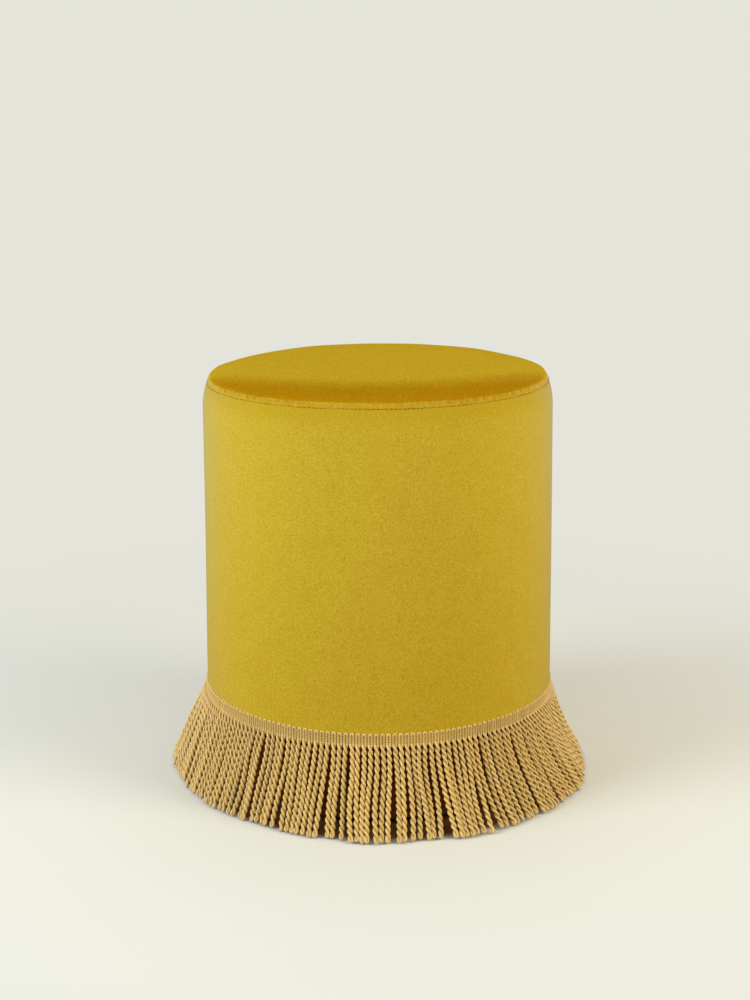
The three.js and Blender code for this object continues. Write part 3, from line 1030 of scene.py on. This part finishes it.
@dataclass(frozen=True)
class YarnLoops:
    """Every cord's yarn, followed once round its closed loop; the arrays are shaped (cords, rings, ...)."""

    path: np.ndarray  # its middle line
    facing: np.ndarray  # direction away from its cord's middle
    radius: np.ndarray
    apart: np.ndarray  # distance from its cord's middle
    twisted: np.ndarray  # how far it is part of a twisted cord, from 0 to 1
    shade: np.ndarray  # how far it goes from cream to olive in the header, as painted shade


@dataclass(frozen=True)
class BullionFringe:
    """Bullion fringe: a woven gimp header, and looped cords of two plies that hang from it to the floor.

    Each cord is one length of yarn. It rises through the header as a rib, turns over in a small arch, comes
    down as the next rib, and the two then twist round each other down to the eye at the tip.
    """

    drum: DrumOutline
    seed: int = 7
    slices: int = 8
    cords_per_slice: int = 24

    # The header
    trim_height: float = 101.6
    header_height: float = 12.0
    rise: float = 1.8  # how much higher the trim was put on towards -X
    shade_tape: float = 0.15  # thickness of the header's ground behind its ribs: a tape painted dark, which stands for the shade in the open weave
    tape_margins: tuple[float, float] = (0.4, 2.6)  # from its edges to the header's lower and upper edge
    bedding: float = 0.6  # how far the header is drawn into the pile
    rib_radius: float = 0.95
    rib_swelling: float = 0.36  # how much thicker the ribs are at the header's lower edge
    beading: float = 0.14  # how much the weft threads pinch the ribs, as a share of their radius
    weft_radius: float = 0.4
    rib_shade: float = 0.0  # how far the header's ribs go from cream to olive, as painted shade
    pinched_shade: float = 0.95  # and where a weft thread pinches them
    weft_shade: float = 0.3  # and how far the weft threads do
    ground_shade_tone: float = 0.22  # brightness of the tape, painted dark as the shade between the ribs, next to the cords'

    # One cord
    ply_radius: float = 1.24
    ply_depth: float = 0.4  # how much deeper than round a ply is towards the middle of the cord
    lay_radius: float = 1.5  # from the middle of a cord to the middle of a ply
    loosening: float = 0.09  # how much thicker the cords are towards their tips
    transition: float = 3.0  # length over which two ribs close into a cord
    half_turns: int = 12  # least number of half turns in a cord
    extra_half_turns: int = 2  # how many more some have
    turn_error: float = 0.13  # and how far, in half turns, the plies end from lying side by side
    strand_groove: float = 0.025  # depth of the grooves between strands, as a share of the ply's radius
    olive_reach: float = 1.05  # distance from a cord's middle, in lay radii, within which it is painted olive, as shade
    cream_reach: float = 1.66  # and from which it is cream
    tone_spread: float = 0.05  # how much the cords differ in brightness
    eye_radius: float = 1.36  # of the open eye in which the yarn turns at the tip
    eye_ply_radius: float = 1.5
    eye_length: float = 2.1
    eye_neck: float = 4.5  # length over which the plies part into the eye

    # How the cords hang
    spread: float = 38.0  # from the header out to the tips
    pushed_out: float = 8.0  # how much more than that the tips stand out at the right front
    pushed_in: float = 5.2  # and how much less at the left front
    turned_in: float = 1.8  # how much nearer the tips stand at the far right, and further out at the far left
    bulge: float = 3.5  # how much further out the middles of the cords hang towards -X
    tip_height: float = 4.0
    shortest: float = 1.0  # how much higher than that the shortest cord ends
    bend_out: float = 0.3  # where the corner that draws its curve lies, as a share of the way out
    bend_down: float = 0.5  # and of the way down
    clumping: float = 0.16  # most that the tips of a clump are drawn together, as a share of their distance
    sway: tuple[float, float] = (1.3, 1.3)  # spread of the tips to the side: of clumps, of cords in them
    bow: tuple[float, float] = (1.0, 0.8)  # spread of the cords' middles to the side, likewise
    curl: tuple[float, float] = (0.5, 0.5)  # and of their double bends
    lean: tuple[float, float] = (1.2, 0.9)  # spread of the tips outwards, likewise
    swell: float = 1.0  # and of each cord's middle outwards
    clearance: float = 4.8  # distance to which the middles of two cords that touch are moved apart
    settling_rounds: int = 70
    give: float = 0.4  # share of an overlap that one round takes away
    stiffness: float = 0.25  # how far one round straightens each cord
    most_lifted: float = 2.0  # most that the velvet moves a cord out

    # Fineness of the meshes
    sides: int = 12
    header_rows: int = 10
    cord_rows: int = 64
    eye_steps: int = 9
    arch_steps: int = 6

    @property
    def count(self) -> int:
        """Number of cords in the whole fringe."""
        return self.slices * self.cords_per_slice

    @property
    def header_bottom(self) -> float:
        """Height of the header's lower edge."""
        return self.trim_height - self.header_height

    @property
    def header_inner(self) -> float:
        """Radius of the header's back, against the sleeve."""
        return float(self.drum.side(self.header_bottom)) - self.bedding

    @property
    def rib_centre(self) -> float:
        """Radius at which the middles of the header's ribs stand."""
        return self.header_inner + self.shade_tape + self.rib_radius

    def lift(self, turn: np.ndarray) -> np.ndarray:
        """Gives how much higher the trim is put on at an angle round the drum."""
        return self.rise * smoothstep(0, 1, -np.cos(turn))

    def rib_heights(self) -> np.ndarray:
        """Gives the heights of a rib's rings, from the foot of its arch to just above the cord."""
        foot = self.trim_height - self.rib_radius - math.pi * self.rib_centre / self.count / 2
        return np.linspace(foot, self.header_bottom, self.header_rows + 1)[:-1]

    def angles(self) -> np.ndarray:
        """Angle of each cord round the drum, from the back."""
        return BACK + (np.arange(self.count) + 0.5) * FULL_TURN / self.count

    def shares(self) -> np.ndarray:
        """Gives how far down its cord each row is, from 0 at the header to 1 at the tip."""
        return np.linspace(0, 1, self.cord_rows + 1)

    def push(self, turn: np.ndarray) -> np.ndarray:
        """Gives how much further out the tips stand at an angle round the drum.

        Args:
            turn: Angles round the drum.

        Returns:
            The extra distance at each angle.
        """
        to_right = smoothstep(-0.55, 0.1, np.cos(turn))
        pushed = (self.pushed_out + self.pushed_in) * to_right - self.pushed_in
        return pushed * smoothstep(0.05, 0.4, -np.sin(turn)) - self.turned_in * np.cos(turn)

    def fall(self) -> np.ndarray:
        """Radius and height of a cord that hangs alone, from the header to its tip.

        Returns:
            The points of its middle line as (radius, height).
        """
        start = np.array([self.rib_centre, self.header_bottom])
        end = np.array([self.rib_centre + self.spread, self.tip_height])
        bend = start + (end - start) * np.array([self.bend_out, self.bend_down])
        return curve(start, bend, end, self.shares()[:, None])

    def clumps(self, rng: np.random.Generator) -> tuple[np.ndarray, np.ndarray]:
        """Lets the cords gather loosely, before they are moved apart.

        Args:
            rng: Source of the random sways.

        Returns:
            How far each cord lies to the side and outwards, shaped (cords, rows).
        """
        number = np.arange(self.count)
        sizes = rng.integers(3, 8, self.count)
        clump = np.repeat(number, sizes)[:self.count]
        members = np.bincount(clump, minlength=self.count)
        middle = np.bincount(clump, number, self.count) / np.maximum(members, 1)

        def drawn(spreads: tuple[float, float]) -> np.ndarray:
            """Draws a value for each cord, of which one part is the same in its whole clump."""
            together = rng.normal(0, spreads[0], self.count)[clump]
            return together + rng.normal(0, spreads[1], self.count)

        pitch = FULL_TURN * (self.rib_centre + self.spread) / self.count
        pull = rng.uniform(0.0, self.clumping, self.count)[clump] * (middle[clump] - number) * pitch
        sway, bow, curl = drawn(self.sway) + pull, drawn(self.bow), drawn(self.curl)
        lean, swell = drawn(self.lean), rng.normal(0, self.swell, self.count)
        share = self.shares()
        bowed, curled = np.sin(math.pi * share), np.sin(FULL_TURN * share)
        side = sway[:, None] * share**1.6 + bow[:, None] * bowed + curl[:, None] * curled
        return side, lean[:, None] * share**1.5 + swell[:, None] * bowed

    def hung(self) -> np.ndarray:
        """Hangs all the cords, and moves their middles apart and away from the velvet, round by round.

        Returns:
            The cords' middle lines, shaped (cords, rows, 3).
        """
        rng = np.random.default_rng(self.seed)
        radius, height = self.fall().T
        share = self.shares()
        free = smoothstep(0, 0.12, share)
        side, out = (sways * free for sways in self.clumps(rng))
        pitch = FULL_TURN * radius / self.count
        least_out = self.drum.side(height) + self.drum.fit + self.ply_radius + self.lay_radius - radius
        for _ in range(self.settling_rounds):
            for apart in (1, 2, 3):
                across = apart * pitch + np.roll(side, -apart, axis=0) - side
                forward = np.roll(out, -apart, axis=0) - out
                distance = np.maximum(np.hypot(across, forward), 0.01)
                push = self.give * np.maximum(self.clearance - distance, 0) * free / distance
                side = side - push * across + np.roll(push * across, apart, axis=0)
                out = out - push * forward + np.roll(push * forward, apart, axis=0)
            for sways in (side, out):
                sways[:, 1:-1] += self.stiffness * (sways[:, :-2] - 2 * sways[:, 1:-1] + sways[:, 2:])
                sways[:, 0] = 0
            out = np.maximum(out, np.minimum(least_out, self.most_lifted) * free)
        turn = self.angles()[:, None] + side / radius
        shorter = rng.uniform(0, self.shortest, self.count)[:, None] * smoothstep(0.3, 1, share)
        raised = self.lift(self.angles())[:, None] * (1 - share)
        bulge = self.bulge * smoothstep(0.3, 0.9, -np.cos(turn)) * np.sin(math.pi * share)
        far = radius + out + self.push(turn) * share**1.5 + bulge
        return polar(far, turn, height + shorter + raised)

    def twist(self, length: np.ndarray, rng: np.random.Generator) -> np.ndarray:
        """Angle of the plies round each cord, from the header to the tip.

        Args:
            length: Distance of each row from the header, shaped (cords, rows).
            rng: Source of the small differences between cords.

        Returns:
            The angles, shaped like length; the plies lie side by side at the start and nearly so at the tip.
        """
        whole = length[:, -1:]
        rate = smoothstep(-1, 4, length) * smoothstep(0, self.eye_neck, whole - length + 1)
        grown = added_up(np.diff(length, axis=1) * (rate[:, 1:] + rate[:, :-1]) / 2)
        turns = self.half_turns + rng.integers(0, self.extra_half_turns + 1, (self.count, 1))
        turns = turns + rng.normal(0, self.turn_error, (self.count, 1))
        return -math.pi * turns * grown / grown[:, -1:]

    def along_yarn(self, rows: np.ndarray) -> np.ndarray:
        """Lays values that are known from header to tip along the whole closed yarn.

        Args:
            rows: The values, shaped (cords, rows, ...).

        Returns:
            The values, shaped (cords, rings, ...).
        """
        tip = np.repeat(rows[:, -1:], self.eye_steps - 1, axis=1)
        head = np.repeat(rows[:, :1], self.arch_steps - 1, axis=1)
        return np.concatenate([rows, tip, rows[:, ::-1], head], axis=1)

    def loops(self) -> YarnLoops:
        """Follows each cord's yarn once round its closed loop.

        Returns:
            The yarn of all the cords.
        """
        rng = np.random.default_rng(self.seed + 1)
        hanging = self.hung()
        turn = self.angles()[:, None]
        half_pitch = FULL_TURN * self.rib_centre / self.count / 4
        ribs = polar(self.rib_centre, turn, self.rib_heights() + self.lift(turn))
        axis = np.concatenate([ribs, hanging], axis=1)
        down = unit(np.gradient(axis, axis=1))
        beside = square_to(np.stack([-np.sin(turn), np.cos(turn), 0 * turn], axis=-1), down)
        outward = np.cross(beside, down)
        outward = outward * np.sign((outward * axis)[..., :2].sum(-1, keepdims=True))
        length = added_up(np.linalg.norm(np.diff(hanging, axis=1), axis=-1))
        in_header = ((0, 0), (self.header_rows, 0))
        angle = np.pad(self.twist(length, rng), in_header)
        length = np.pad(length, in_header)
        into_cord = smoothstep(0, self.transition, length)
        into_eye = smoothstep(self.eye_neck, 1.0, length[:, -1:] - length)
        loose = 1 + self.loosening * smoothstep(10, 70, length)
        apart = half_pitch + (self.lay_radius * loose - half_pitch) * into_cord
        apart = apart + (self.eye_radius - apart) * into_eye
        reach = apart[..., None] * (np.cos(angle)[..., None] * beside + np.sin(angle)[..., None] * outward)
        bow = np.linspace(0, math.pi, self.eye_steps + 1)[1:-1, None]
        eye = np.cos(bow) * reach[:, -1:] + self.eye_length * np.sin(bow) * down[:, -1:]
        hump = np.linspace(math.pi, 0, self.arch_steps + 1)[1:-1, None]
        arch = np.cos(hump) * reach[:, :1] - half_pitch * np.sin(hump) * down[:, :1]
        offsets = np.concatenate([reach, eye, -reach[:, ::-1], arch], axis=1)
        full = self.rib_radius + self.rib_swelling
        radius = full + (self.ply_radius * loose - full) * into_cord
        row = np.arange(self.header_rows)
        swollen = self.rib_radius + self.rib_swelling * smoothstep(0.3, 1, row / self.header_rows)
        radius[:, :self.header_rows] = swollen * (1 - self.beading * (row % 2))
        radius = radius + (self.eye_ply_radius - radius) * into_eye
        shade = np.full(radius.shape, self.rib_shade)
        shade[:, 1:self.header_rows:2] = self.pinched_shade
        return YarnLoops(
            path=self.along_yarn(axis) + offsets,
            facing=unit(offsets),
            radius=self.along_yarn(radius),
            apart=self.along_yarn(apart),
            twisted=self.along_yarn(into_cord),
            shade=self.along_yarn(shade),
        )

    def build(self) -> list[bpy.types.Object]:
        """Makes the cords and the header, slice by slice.

        Returns:
            The pieces of all the slices.
        """
        yarn = self.loops()
        crest = np.cos(steps_round(self.sides))
        apart, twisted, shade = yarn.apart[..., None], yarn.twisted[..., None], yarn.shade[..., None]
        section = yarn.radius[..., None] * (1 - self.strand_groove * np.isclose(crest, 0.5))
        section = section * (1 + self.ply_depth * twisted * np.maximum(-crest, 0))
        section = np.minimum(section, apart / np.maximum(-crest, 0.01))
        points = swept(yarn.path, yarn.facing, section, self.sides, closed=True)
        from_middle = np.sqrt(np.maximum(apart**2 + section**2 + 2 * apart * section * crest, 0)) / apart
        # painted shade: olive near a cord's middle, where its plies meet, cream on the crests
        groove_shade = shade + (smoothstep(self.cream_reach, self.olive_reach, from_middle) - shade) * twisted
        rings = points.shape[1]
        one_cord = grid_faces(rings, self.sides, close_rows=True)
        faces = repeated(one_cord, self.cords_per_slice, rings * self.sides)
        tones = np.random.default_rng(self.seed + 2).normal(1, self.tone_spread, self.count)
        tones = tones[:, None, None] * np.ones(groove_shade.shape[1:])
        pieces = []
        for k in range(self.slices):
            cords = slice(k * self.cords_per_slice, (k + 1) * self.cords_per_slice)
            name = f"bullion_cords_{k + 1}"
            piece = make_piece(name, points[cords], faces, YARN, [f"fringe_{k + 1}"], weld=False)
            self.mark(piece, "groove_shade", groove_shade[cords])
            self.mark(piece, "tone_and_shade", tones[cords])
            pieces += [piece, self.header(k)]
        return pieces

    def mark(self, piece: bpy.types.Object, name: str, values: np.ndarray) -> None:
        """Stores one value for each point, which the yarn's finish reads."""
        layer = piece.data.attributes.new(name, "FLOAT", "POINT")
        layer.data.foreach_set("value", values.astype(np.float32).ravel())

    def header(self, number: int) -> bpy.types.Object:
        """Makes one slice of the header's ground: its tape, painted dark as the shade between the ribs, and
        the weft threads that tie its ribs.

        Args:
            number: Number of the slice, from 0.

        Returns:
            The header's piece.
        """
        steps = 8 * self.cords_per_slice
        along = np.concatenate([[0.0002], np.linspace(0.0006, 0.9994, steps - 1), [0.9998]])
        turn = BACK + FULL_TURN / self.slices * (number + along)
        lift = self.lift(turn)
        radii = np.full(steps + 1, self.weft_radius)
        radii[[0, -1]] = 0
        path = polar(self.rib_centre, turn, self.rib_heights()[1::2, None] + lift)
        threads, thread_faces = rods(path, polar(1, turn, 0), radii)
        low, high = self.header_bottom + self.tape_margins[0], self.trim_height - self.tape_margins[1]
        inner, outer = self.header_inner, self.header_inner + self.shade_tape
        corners = np.array([[inner, low], [outer, low], [outer, high], [inner, high]])
        band = polar(corners[:, 0], turn[:, None], corners[:, 1] + lift[:, None])
        ends = np.array([[0, 1, 2, 3], [4 * steps + 3, 4 * steps + 2, 4 * steps + 1, 4 * steps]])
        band_faces = np.concatenate([grid_faces(steps + 1, 4, close_rows=False), ends])
        counts = [threads.size // 3, band.size // 3]
        points = np.concatenate([threads.reshape(-1, 3), band.reshape(-1, 3)])
        faces = np.concatenate([thread_faces, band_faces + counts[0]])
        piece = make_piece(f"gimp_header_{number + 1}", points, faces, YARN, weld=False)
        # painted shade: the tape is all olive and darkened, the weft threads partly olive
        self.mark(piece, "groove_shade", np.repeat([self.weft_shade, 1.0], counts))
        self.mark(piece, "tone_and_shade", np.repeat([1.0, self.ground_shade_tone], counts))
        return piece


# Fillings and frame


@dataclass(frozen=True)
class Filling:
    """Soft layers between the frame and the velvet: sheet foam, seat foam and a cap of wadding."""

    drum: DrumOutline
    sides: int = 192
    block_rounding: float = 9.0
    cap_rounding: float = 3.0
    bevel: float = 1.0  # at the foot of the seat foam
    fullness: float = 0.85

    def build(self) -> None:
        drum = self.drum
        wrap_low, wrap_high = (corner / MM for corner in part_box("side_padding"))
        foam_low, foam_high = (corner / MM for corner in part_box("seat_foam"))
        wad_low, _ = (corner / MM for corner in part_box("seat_wadding"))
        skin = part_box("drum_skin")[1].x / MM
        under_velvet = drum.velvet + drum.fit
        inner = skin + drum.fit
        wrap_face = drum.wall(np.linspace(wrap_low.z, wrap_high.z, 24), under_velvet)
        wrap = np.concatenate([wrap_face, [[inner, wrap_high.z], [inner, wrap_low.z]]])
        depth = drum.rim_height + drum.crown_rise - foam_high.z
        block = drum.seat(depth, wrap_high.z - self.block_rounding, self.block_rounding, 14)
        block[:, 0] = np.minimum(block[:, 0], skin)
        foot = [[0, foam_low.z], [skin - self.bevel, foam_low.z], [skin, foam_low.z + self.bevel]]
        foam = np.concatenate([foot, block])
        cap_face = drum.seat(under_velvet, wad_low.z, self.cap_rounding, 14)
        lifted = block[block[:, 1] + drum.fit > wad_low.z] + [0, drum.fit]
        cap = np.concatenate([cap_face, lifted[::-1], [[inner, wad_low.z]]])
        for layer in (
            drum.layer("side_foam_wrap", wrap, self.sides, FOAM, "foam", "side_padding"),
            drum.layer("seat_foam_block", foam, self.sides, FOAM, "foam", "seat_foam"),
            drum.layer("seat_wadding_cap", cap, self.sides, WADDING, "wadding", "seat_wadding"),
        ):
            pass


@dataclass(frozen=True)
class Frame:
    """The ply and pine frame and its screws, which keep their own shapes and take finer finishes."""

    def dress(self, nodes: Mapping[str, bpy.types.Object]) -> None:
        """Gives each rigid node of the frame its finish.

        Args:
            nodes: The frame's nodes by name.
        """
        finishes = {"board": BOARD_PLY, "drum_skin": BENT_PLY, "upright": PINE, "screw": STEEL}
        for name, node in nodes.items():
            for word, finish in finishes.items():
                if word in name and not node.hide_render:
                    node.material_slots[0].material = finish.material()
                    LOG.info("%s keeps its shape, in %s", name, finish.name)


# Underside


@dataclass(frozen=True)
class Underside:
    """Dust cover stapled over the hem, and the glides on their screws."""

    drum: DrumOutline
    cover_sides: int = 288
    fold_width: float = 10.0
    cloth: float = 0.3
    sag: float = 0.12
    ripples: tuple[float, float, float] = (23.0, 31.0, 41.0)  # sizes of its soft waves
    taut: tuple[float, float] = (176.0, 150.0)  # radii over which the cloth begins to hang slack
    staple_count: int = 36
    staple_crown: float = 9.0
    staple_bend: float = 0.7  # from the end of a staple's crown to the start of its bend
    staple_wire: float = 0.6
    place_error: float = 0.08  # spread of the staples' places, as a share of their spacing, and slants
    ring_error: float = 0.8  # and of their distances from the middle
    glide_sides: int = 56
    glide_rounding: float = 2.0
    recess_arm: float = 2.1
    recess_width: float = 0.9
    recess_depth: float = 1.3
    thread_pitch: float = 1.25
    thread_depth: float = 0.45
    point: float = 4.0  # length of a screw's tip

    def dust_cover(self) -> None:
        """Makes the dust cover, with its edge folded under."""
        _, high = (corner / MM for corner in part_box("dust_cover"))
        edge, fold = high.x, high.x - self.fold_width
        lower, lowest = high.z - self.cloth, high.z - 2 * self.cloth
        steps = np.linspace(0, fold - 1, 20)[1:-1]
        under = np.stack([steps, np.full(len(steps), lower)], axis=-1)
        outline = rounded([
            (0, lower, 0), (fold - 1, lower, 0), (fold, lowest, 0), (edge, lowest, 0.25),
            (edge, high.z, 0.25), (fold, high.z, 0), (0, high.z, 0)], 3)
        outline = np.concatenate([outline[:1], under, outline[1:]])
        turn = steps_round(self.cover_sides)
        radius = outline[:, 0, None]
        x, y = radius * np.cos(turn), radius * np.sin(turn)
        across, winding, along = self.ripples
        slack = np.sin(x / across + 0.7 * np.sin(y / winding)) * np.sin(y / along + 1)
        below = outline[:, 1, None] < high.z - 0.1
        up = np.minimum(self.sag * slack * smoothstep(*self.taut, radius), 0) * below
        points = revolved(outline, self.cover_sides, 0.0, up)
        faces = grid_faces(len(outline), self.cover_sides, close_rows=False)
        cover = make_piece("underside_dust_cover", points, faces, DUST_CLOTH, ["dust_cover"])

    def staples(self) -> None:
        """Makes the ring of staples that holds the dust cover."""
        _, high = (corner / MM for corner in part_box("dust_cover"))
        count = self.staple_count
        rng = np.random.default_rng(31)
        middles = (np.arange(count) + rng.normal(0, self.place_error, count)) * FULL_TURN / count
        radius = high.x - self.fold_width / 2 + rng.normal(0, self.ring_error, count)[:, None]
        half, bend = self.staple_crown / 2, self.staple_crown / 2 - self.staple_bend
        flat = high.z - 2 * self.cloth - self.staple_wire / 2
        across = np.array([-half, -half, -bend, 0, bend, half, half])
        heights = np.array([high.z, flat + 0.5, flat, flat, flat, flat + 0.5, high.z])
        skew = rng.normal(0, self.place_error, count)[:, None]
        turn = middles[:, None] + across / radius
        path = polar(radius + skew * across, turn, heights)
        points, faces = rods(path, polar(1, turn, 0), self.staple_wire / 2 * np.array([0, 1, 1, 1, 1, 1, 0]))
        make_piece("dust_cover_staples", points, faces, STEEL)

    def glide(self, number: int) -> None:
        """Makes one round glide and its cross-recessed screw.

        Args:
            number: Number of the glide, as in its node's name.
        """
        low, high = (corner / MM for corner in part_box(f"glide_{number}"))
        screw_low, screw_high = (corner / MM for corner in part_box(f"glide_screw_{number}"))
        middle = np.array([(low.x + high.x) / 2, (low.y + high.y) / 2, 0])
        radius = (high.x - low.x) / 2
        head = (screw_high.x - screw_low.x) / 2
        shank, sink = head / 2, head / 3 * 2
        bore, hole, seat = head + self.drum.fit, shank + self.drum.fit, screw_low.z
        glide = rounded([
            (bore + 0.9, 0, 0.4), (radius, 0, self.glide_rounding), (radius, high.z, 0.5), (hole, high.z, 0),
            (hole, seat + sink, 0), (bore, seat, 0)], 6)
        points = revolved(glide, self.glide_sides) + middle
        faces = grid_faces(len(glide), self.glide_sides, close_rows=True)
        make_piece(f"glide_foot_{number}", points, faces, NYLON, [f"glide_{number}"])
        rings = np.stack([np.linspace(0, head, 13), np.full(13, seat)], axis=-1)
        point = screw_high.z - self.point
        turns = np.arange(seat + sink + 2, point, self.thread_pitch / 2)
        thread = np.stack([shank - self.thread_depth * (np.arange(len(turns)) % 2), turns], axis=-1)
        tip = np.array([[shank - 0.4, point], [0, screw_high.z]])
        outline = np.concatenate([rings, [[shank, seat + sink]], thread, tip])
        points = revolved(outline, self.glide_sides)
        half_width = self.recess_width / 2

        def arm(along: np.ndarray, across: np.ndarray) -> np.ndarray:
            """Gives how deep one arm of the cross recess is, from 0 to 1."""
            within = smoothstep(half_width + 0.15, half_width - 0.1, across)
            return within * smoothstep(self.recess_arm, 0.4, along)

        x, y = np.abs(points[..., 0]), np.abs(points[..., 1])
        on_head = np.arange(len(outline)) < len(rings)
        points[..., 2] += self.recess_depth * np.maximum(arm(x, y), arm(y, x)) * on_head[:, None]
        faces = grid_faces(len(outline), self.glide_sides, close_rows=False)
        name = f"glide_screw_head_{number}"
        make_piece(name, points + middle, faces, STEEL, [f"glide_screw_{number}"])

    def build(self) -> None:
        """Makes the whole underside."""
        self.dust_cover()
        self.staples()
        for number in range(1, 5):
            self.glide(number)


# Studio


def seen_plainly(add: NodeAdder) -> tuple[bpy.types.Node, bpy.types.Node]:
    """Adds the test of whether the camera sees a thing itself or in something glossy.

    Args:
        add: Adds a node to the tree.

    Returns:
        The node that holds the answer, 0 or 1, and the Light Path node.
    """
    path = add("ShaderNodeLightPath")
    rays = {0: path.outputs["Is Camera Ray"], 1: path.outputs["Is Glossy Ray"]}
    return add("ShaderNodeMath", rays, operation="MAXIMUM"), path


@dataclass(frozen=True)
class StudioFloor(Finish):
    """Matt painted floor: pale, and clear where it is far off or seen from below, so that it has no edge."""

    colour: str = "#E9E8DF"
    shaded: str = "#835B30"  # under the drum, where the light comes in past the cords
    bounced: str = "#9A7C56"  # what the floor gives back to the tuffet, as a boarded floor would
    covered: tuple[float, float] = (219.0, 232.0)  # radii over which the shaded floor turns to the open one
    covered_centre: tuple[float, float] = (5.0, -2.0)
    fading: tuple[float, float] = (330.0, 1100.0)  # radii over which the floor turns clear

    def surface(self, add: NodeAdder, place: bpy.types.NodeSocket) -> bpy.types.Node:
        """Adds the nodes of the floor; see Finish.surface."""
        distance = add("ShaderNodeVectorMath", {0: place}, operation="LENGTH")
        fade = add("ShaderNodeMapRange", {
            "Value": distance, "From Min": self.fading[0] * MM, "From Max": self.fading[1] * MM,
            "To Min": 1.0, "To Max": 0.0}, **SMOOTH)
        behind = add("ShaderNodeNewGeometry").outputs["Backfacing"]
        front = add("ShaderNodeMath", {0: 1.0, 1: behind}, operation="SUBTRACT")
        shown = add("ShaderNodeMath", {0: fade, 1: front}, operation="MULTIPLY")
        seen, _ = seen_plainly(add)
        centre = (self.covered_centre[0] * MM, self.covered_centre[1] * MM, 0.0)
        from_middle = add("ShaderNodeVectorMath", {0: place, 1: centre}, operation="DISTANCE")
        open_floor = add("ShaderNodeMapRange", {
            "Value": from_middle, "From Min": self.covered[0] * MM,
            "From Max": self.covered[1] * MM}, **SMOOTH)
        paint = add("ShaderNodeMix", {0: open_floor, 6: self.shaded, 7: self.colour}, data_type="RGBA")
        colour = add("ShaderNodeMix", {0: seen, 6: self.bounced, 7: paint}, data_type="RGBA")
        return add("ShaderNodeBsdfPrincipled", {
            "Base Color": colour, "Roughness": 1.0, "Specular IOR Level": 0.0, "Alpha": shown})


@dataclass(frozen=True)
class SoftBox:
    """One soft studio lamp that faces the tuffet."""

    name: str
    place: tuple[float, float, float]
    size: float
    power: float
    colour: str = "#FFFFFF"
    aim: tuple[float, float, float] = (0.0, 0.0, 220.0)

    def build(self) -> None:
        """Adds the lamp."""
        data = bpy.data.lights.new(self.name, "AREA")
        data.shape = "DISK"
        data.size = self.size * MM
        data.energy = self.power
        data.color = linear(self.colour)[:3]
        lamp = bpy.data.objects.new(self.name, data)
        place, aim = (np.array(point) * MM for point in (self.place, self.aim))
        lamp.location = place
        direction = Vector(aim - place)
        lamp.rotation_euler = direction.to_track_quat("-Z", "Y").to_euler()
        bpy.context.scene.collection.objects.link(lamp)


@dataclass(frozen=True)
class Studio:
    """Plain pale floor, soft lamps, pale surroundings and the camera."""

    background: str = "#E5E4DB"
    ambient_colour: str = "#FFFDF8"
    ambient: float = 0.52
    floor_radius: float = 1200.0
    floor_sides: int = 96
    lens: float = 64.0
    sensor: float = 36.0
    camera_place: tuple[float, float, float] = (-3.4, -1908.0, 770.0)
    camera_pitch: float = 76.2
    camera_roll: float = -0.26
    lamps: tuple[SoftBox, ...] = (
        SoftBox("left_softbox", (-2330.0, -1200.0, 1200.0), 1700.0, 60.5, "#E9F5FF"),
        SoftBox("right_softbox", (2330.0, -1150.0, 1350.0), 1700.0, 43.6, "#FFFCE6"),
        SoftBox("rear_softbox", (0.0, 900.0, 2400.0), 1400.0, 4.5),
    )

    def camera(self) -> None:
        """Adds the camera at the photograph's viewing angle."""
        data = bpy.data.cameras.new("camera")
        data.lens = self.lens
        data.sensor_width = self.sensor
        camera = bpy.data.objects.new("camera", data)
        camera.location = [value * MM for value in self.camera_place]
        pitched = Matrix.Rotation(math.radians(self.camera_pitch), 3, "X")
        rolled = Matrix.Rotation(math.radians(self.camera_roll), 3, "Z")
        camera.rotation_euler = (pitched @ rolled).to_euler()
        bpy.context.scene.collection.objects.link(camera)
        bpy.context.scene.camera = camera

    def floor(self) -> None:
        """Adds the floor as one flat round face."""
        mesh = bpy.data.meshes.new("studio_floor")
        work = bmesh.new()
        bmesh.ops.create_circle(work, cap_ends=True, segments=self.floor_sides, radius=self.floor_radius * MM)
        work.to_mesh(mesh)
        work.free()
        mesh.materials.append(StudioFloor("matt_painted_floor").material())
        floor = bpy.data.objects.new("studio_floor", mesh)
        bpy.context.scene.collection.objects.link(floor)

    def surroundings(self) -> None:
        """Lights the scene evenly, and shows the camera and any gloss the pale background."""
        world = bpy.data.worlds.new("studio")
        world.use_nodes = True
        world.node_tree.nodes.clear()
        add = partial(add_node, world.node_tree)
        seen, path = seen_plainly(add)
        through_glass = path.outputs["Is Transmission Ray"]
        shown = add("ShaderNodeMath", {0: seen, 1: through_glass}, operation="MAXIMUM")
        even = add("ShaderNodeBackground", {"Color": self.ambient_colour, "Strength": self.ambient})
        pale = add("ShaderNodeBackground", {"Color": self.background, "Strength": 1.0})
        mixed = add("ShaderNodeMixShader", {0: shown, 1: even, 2: pale})
        add("ShaderNodeOutputWorld", {"Surface": mixed})
        bpy.context.scene.world = world

    def build(self) -> None:
        """Sets up the whole studio."""
        self.camera()
        self.floor()
        self.surroundings()
        for lamp in self.lamps:
            lamp.build()
        bpy.context.scene.view_settings.view_transform = "Standard"


def main() -> None:
    """Builds the tuffet around its frame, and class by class."""
    logging.basicConfig(level=logging.INFO, format="%(name)s: %(message)s")
    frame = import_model()
    Studio().build()
    drum = DrumOutline.from_frame()
    Filling(drum).build()
    SeatPanel(drum).build()
    sleeve = Sleeve(drum)
    sleeve_piece = sleeve.build()
    Topstitch(drum).build()
    trim = BullionFringe(drum).build()
    sleeve.declare(sleeve_piece, trim)
    Underside(drum).build()
    Frame().dress(frame["nodes"])
    bpy.context.view_layer.update()


if __name__ == "__main__":
    main()
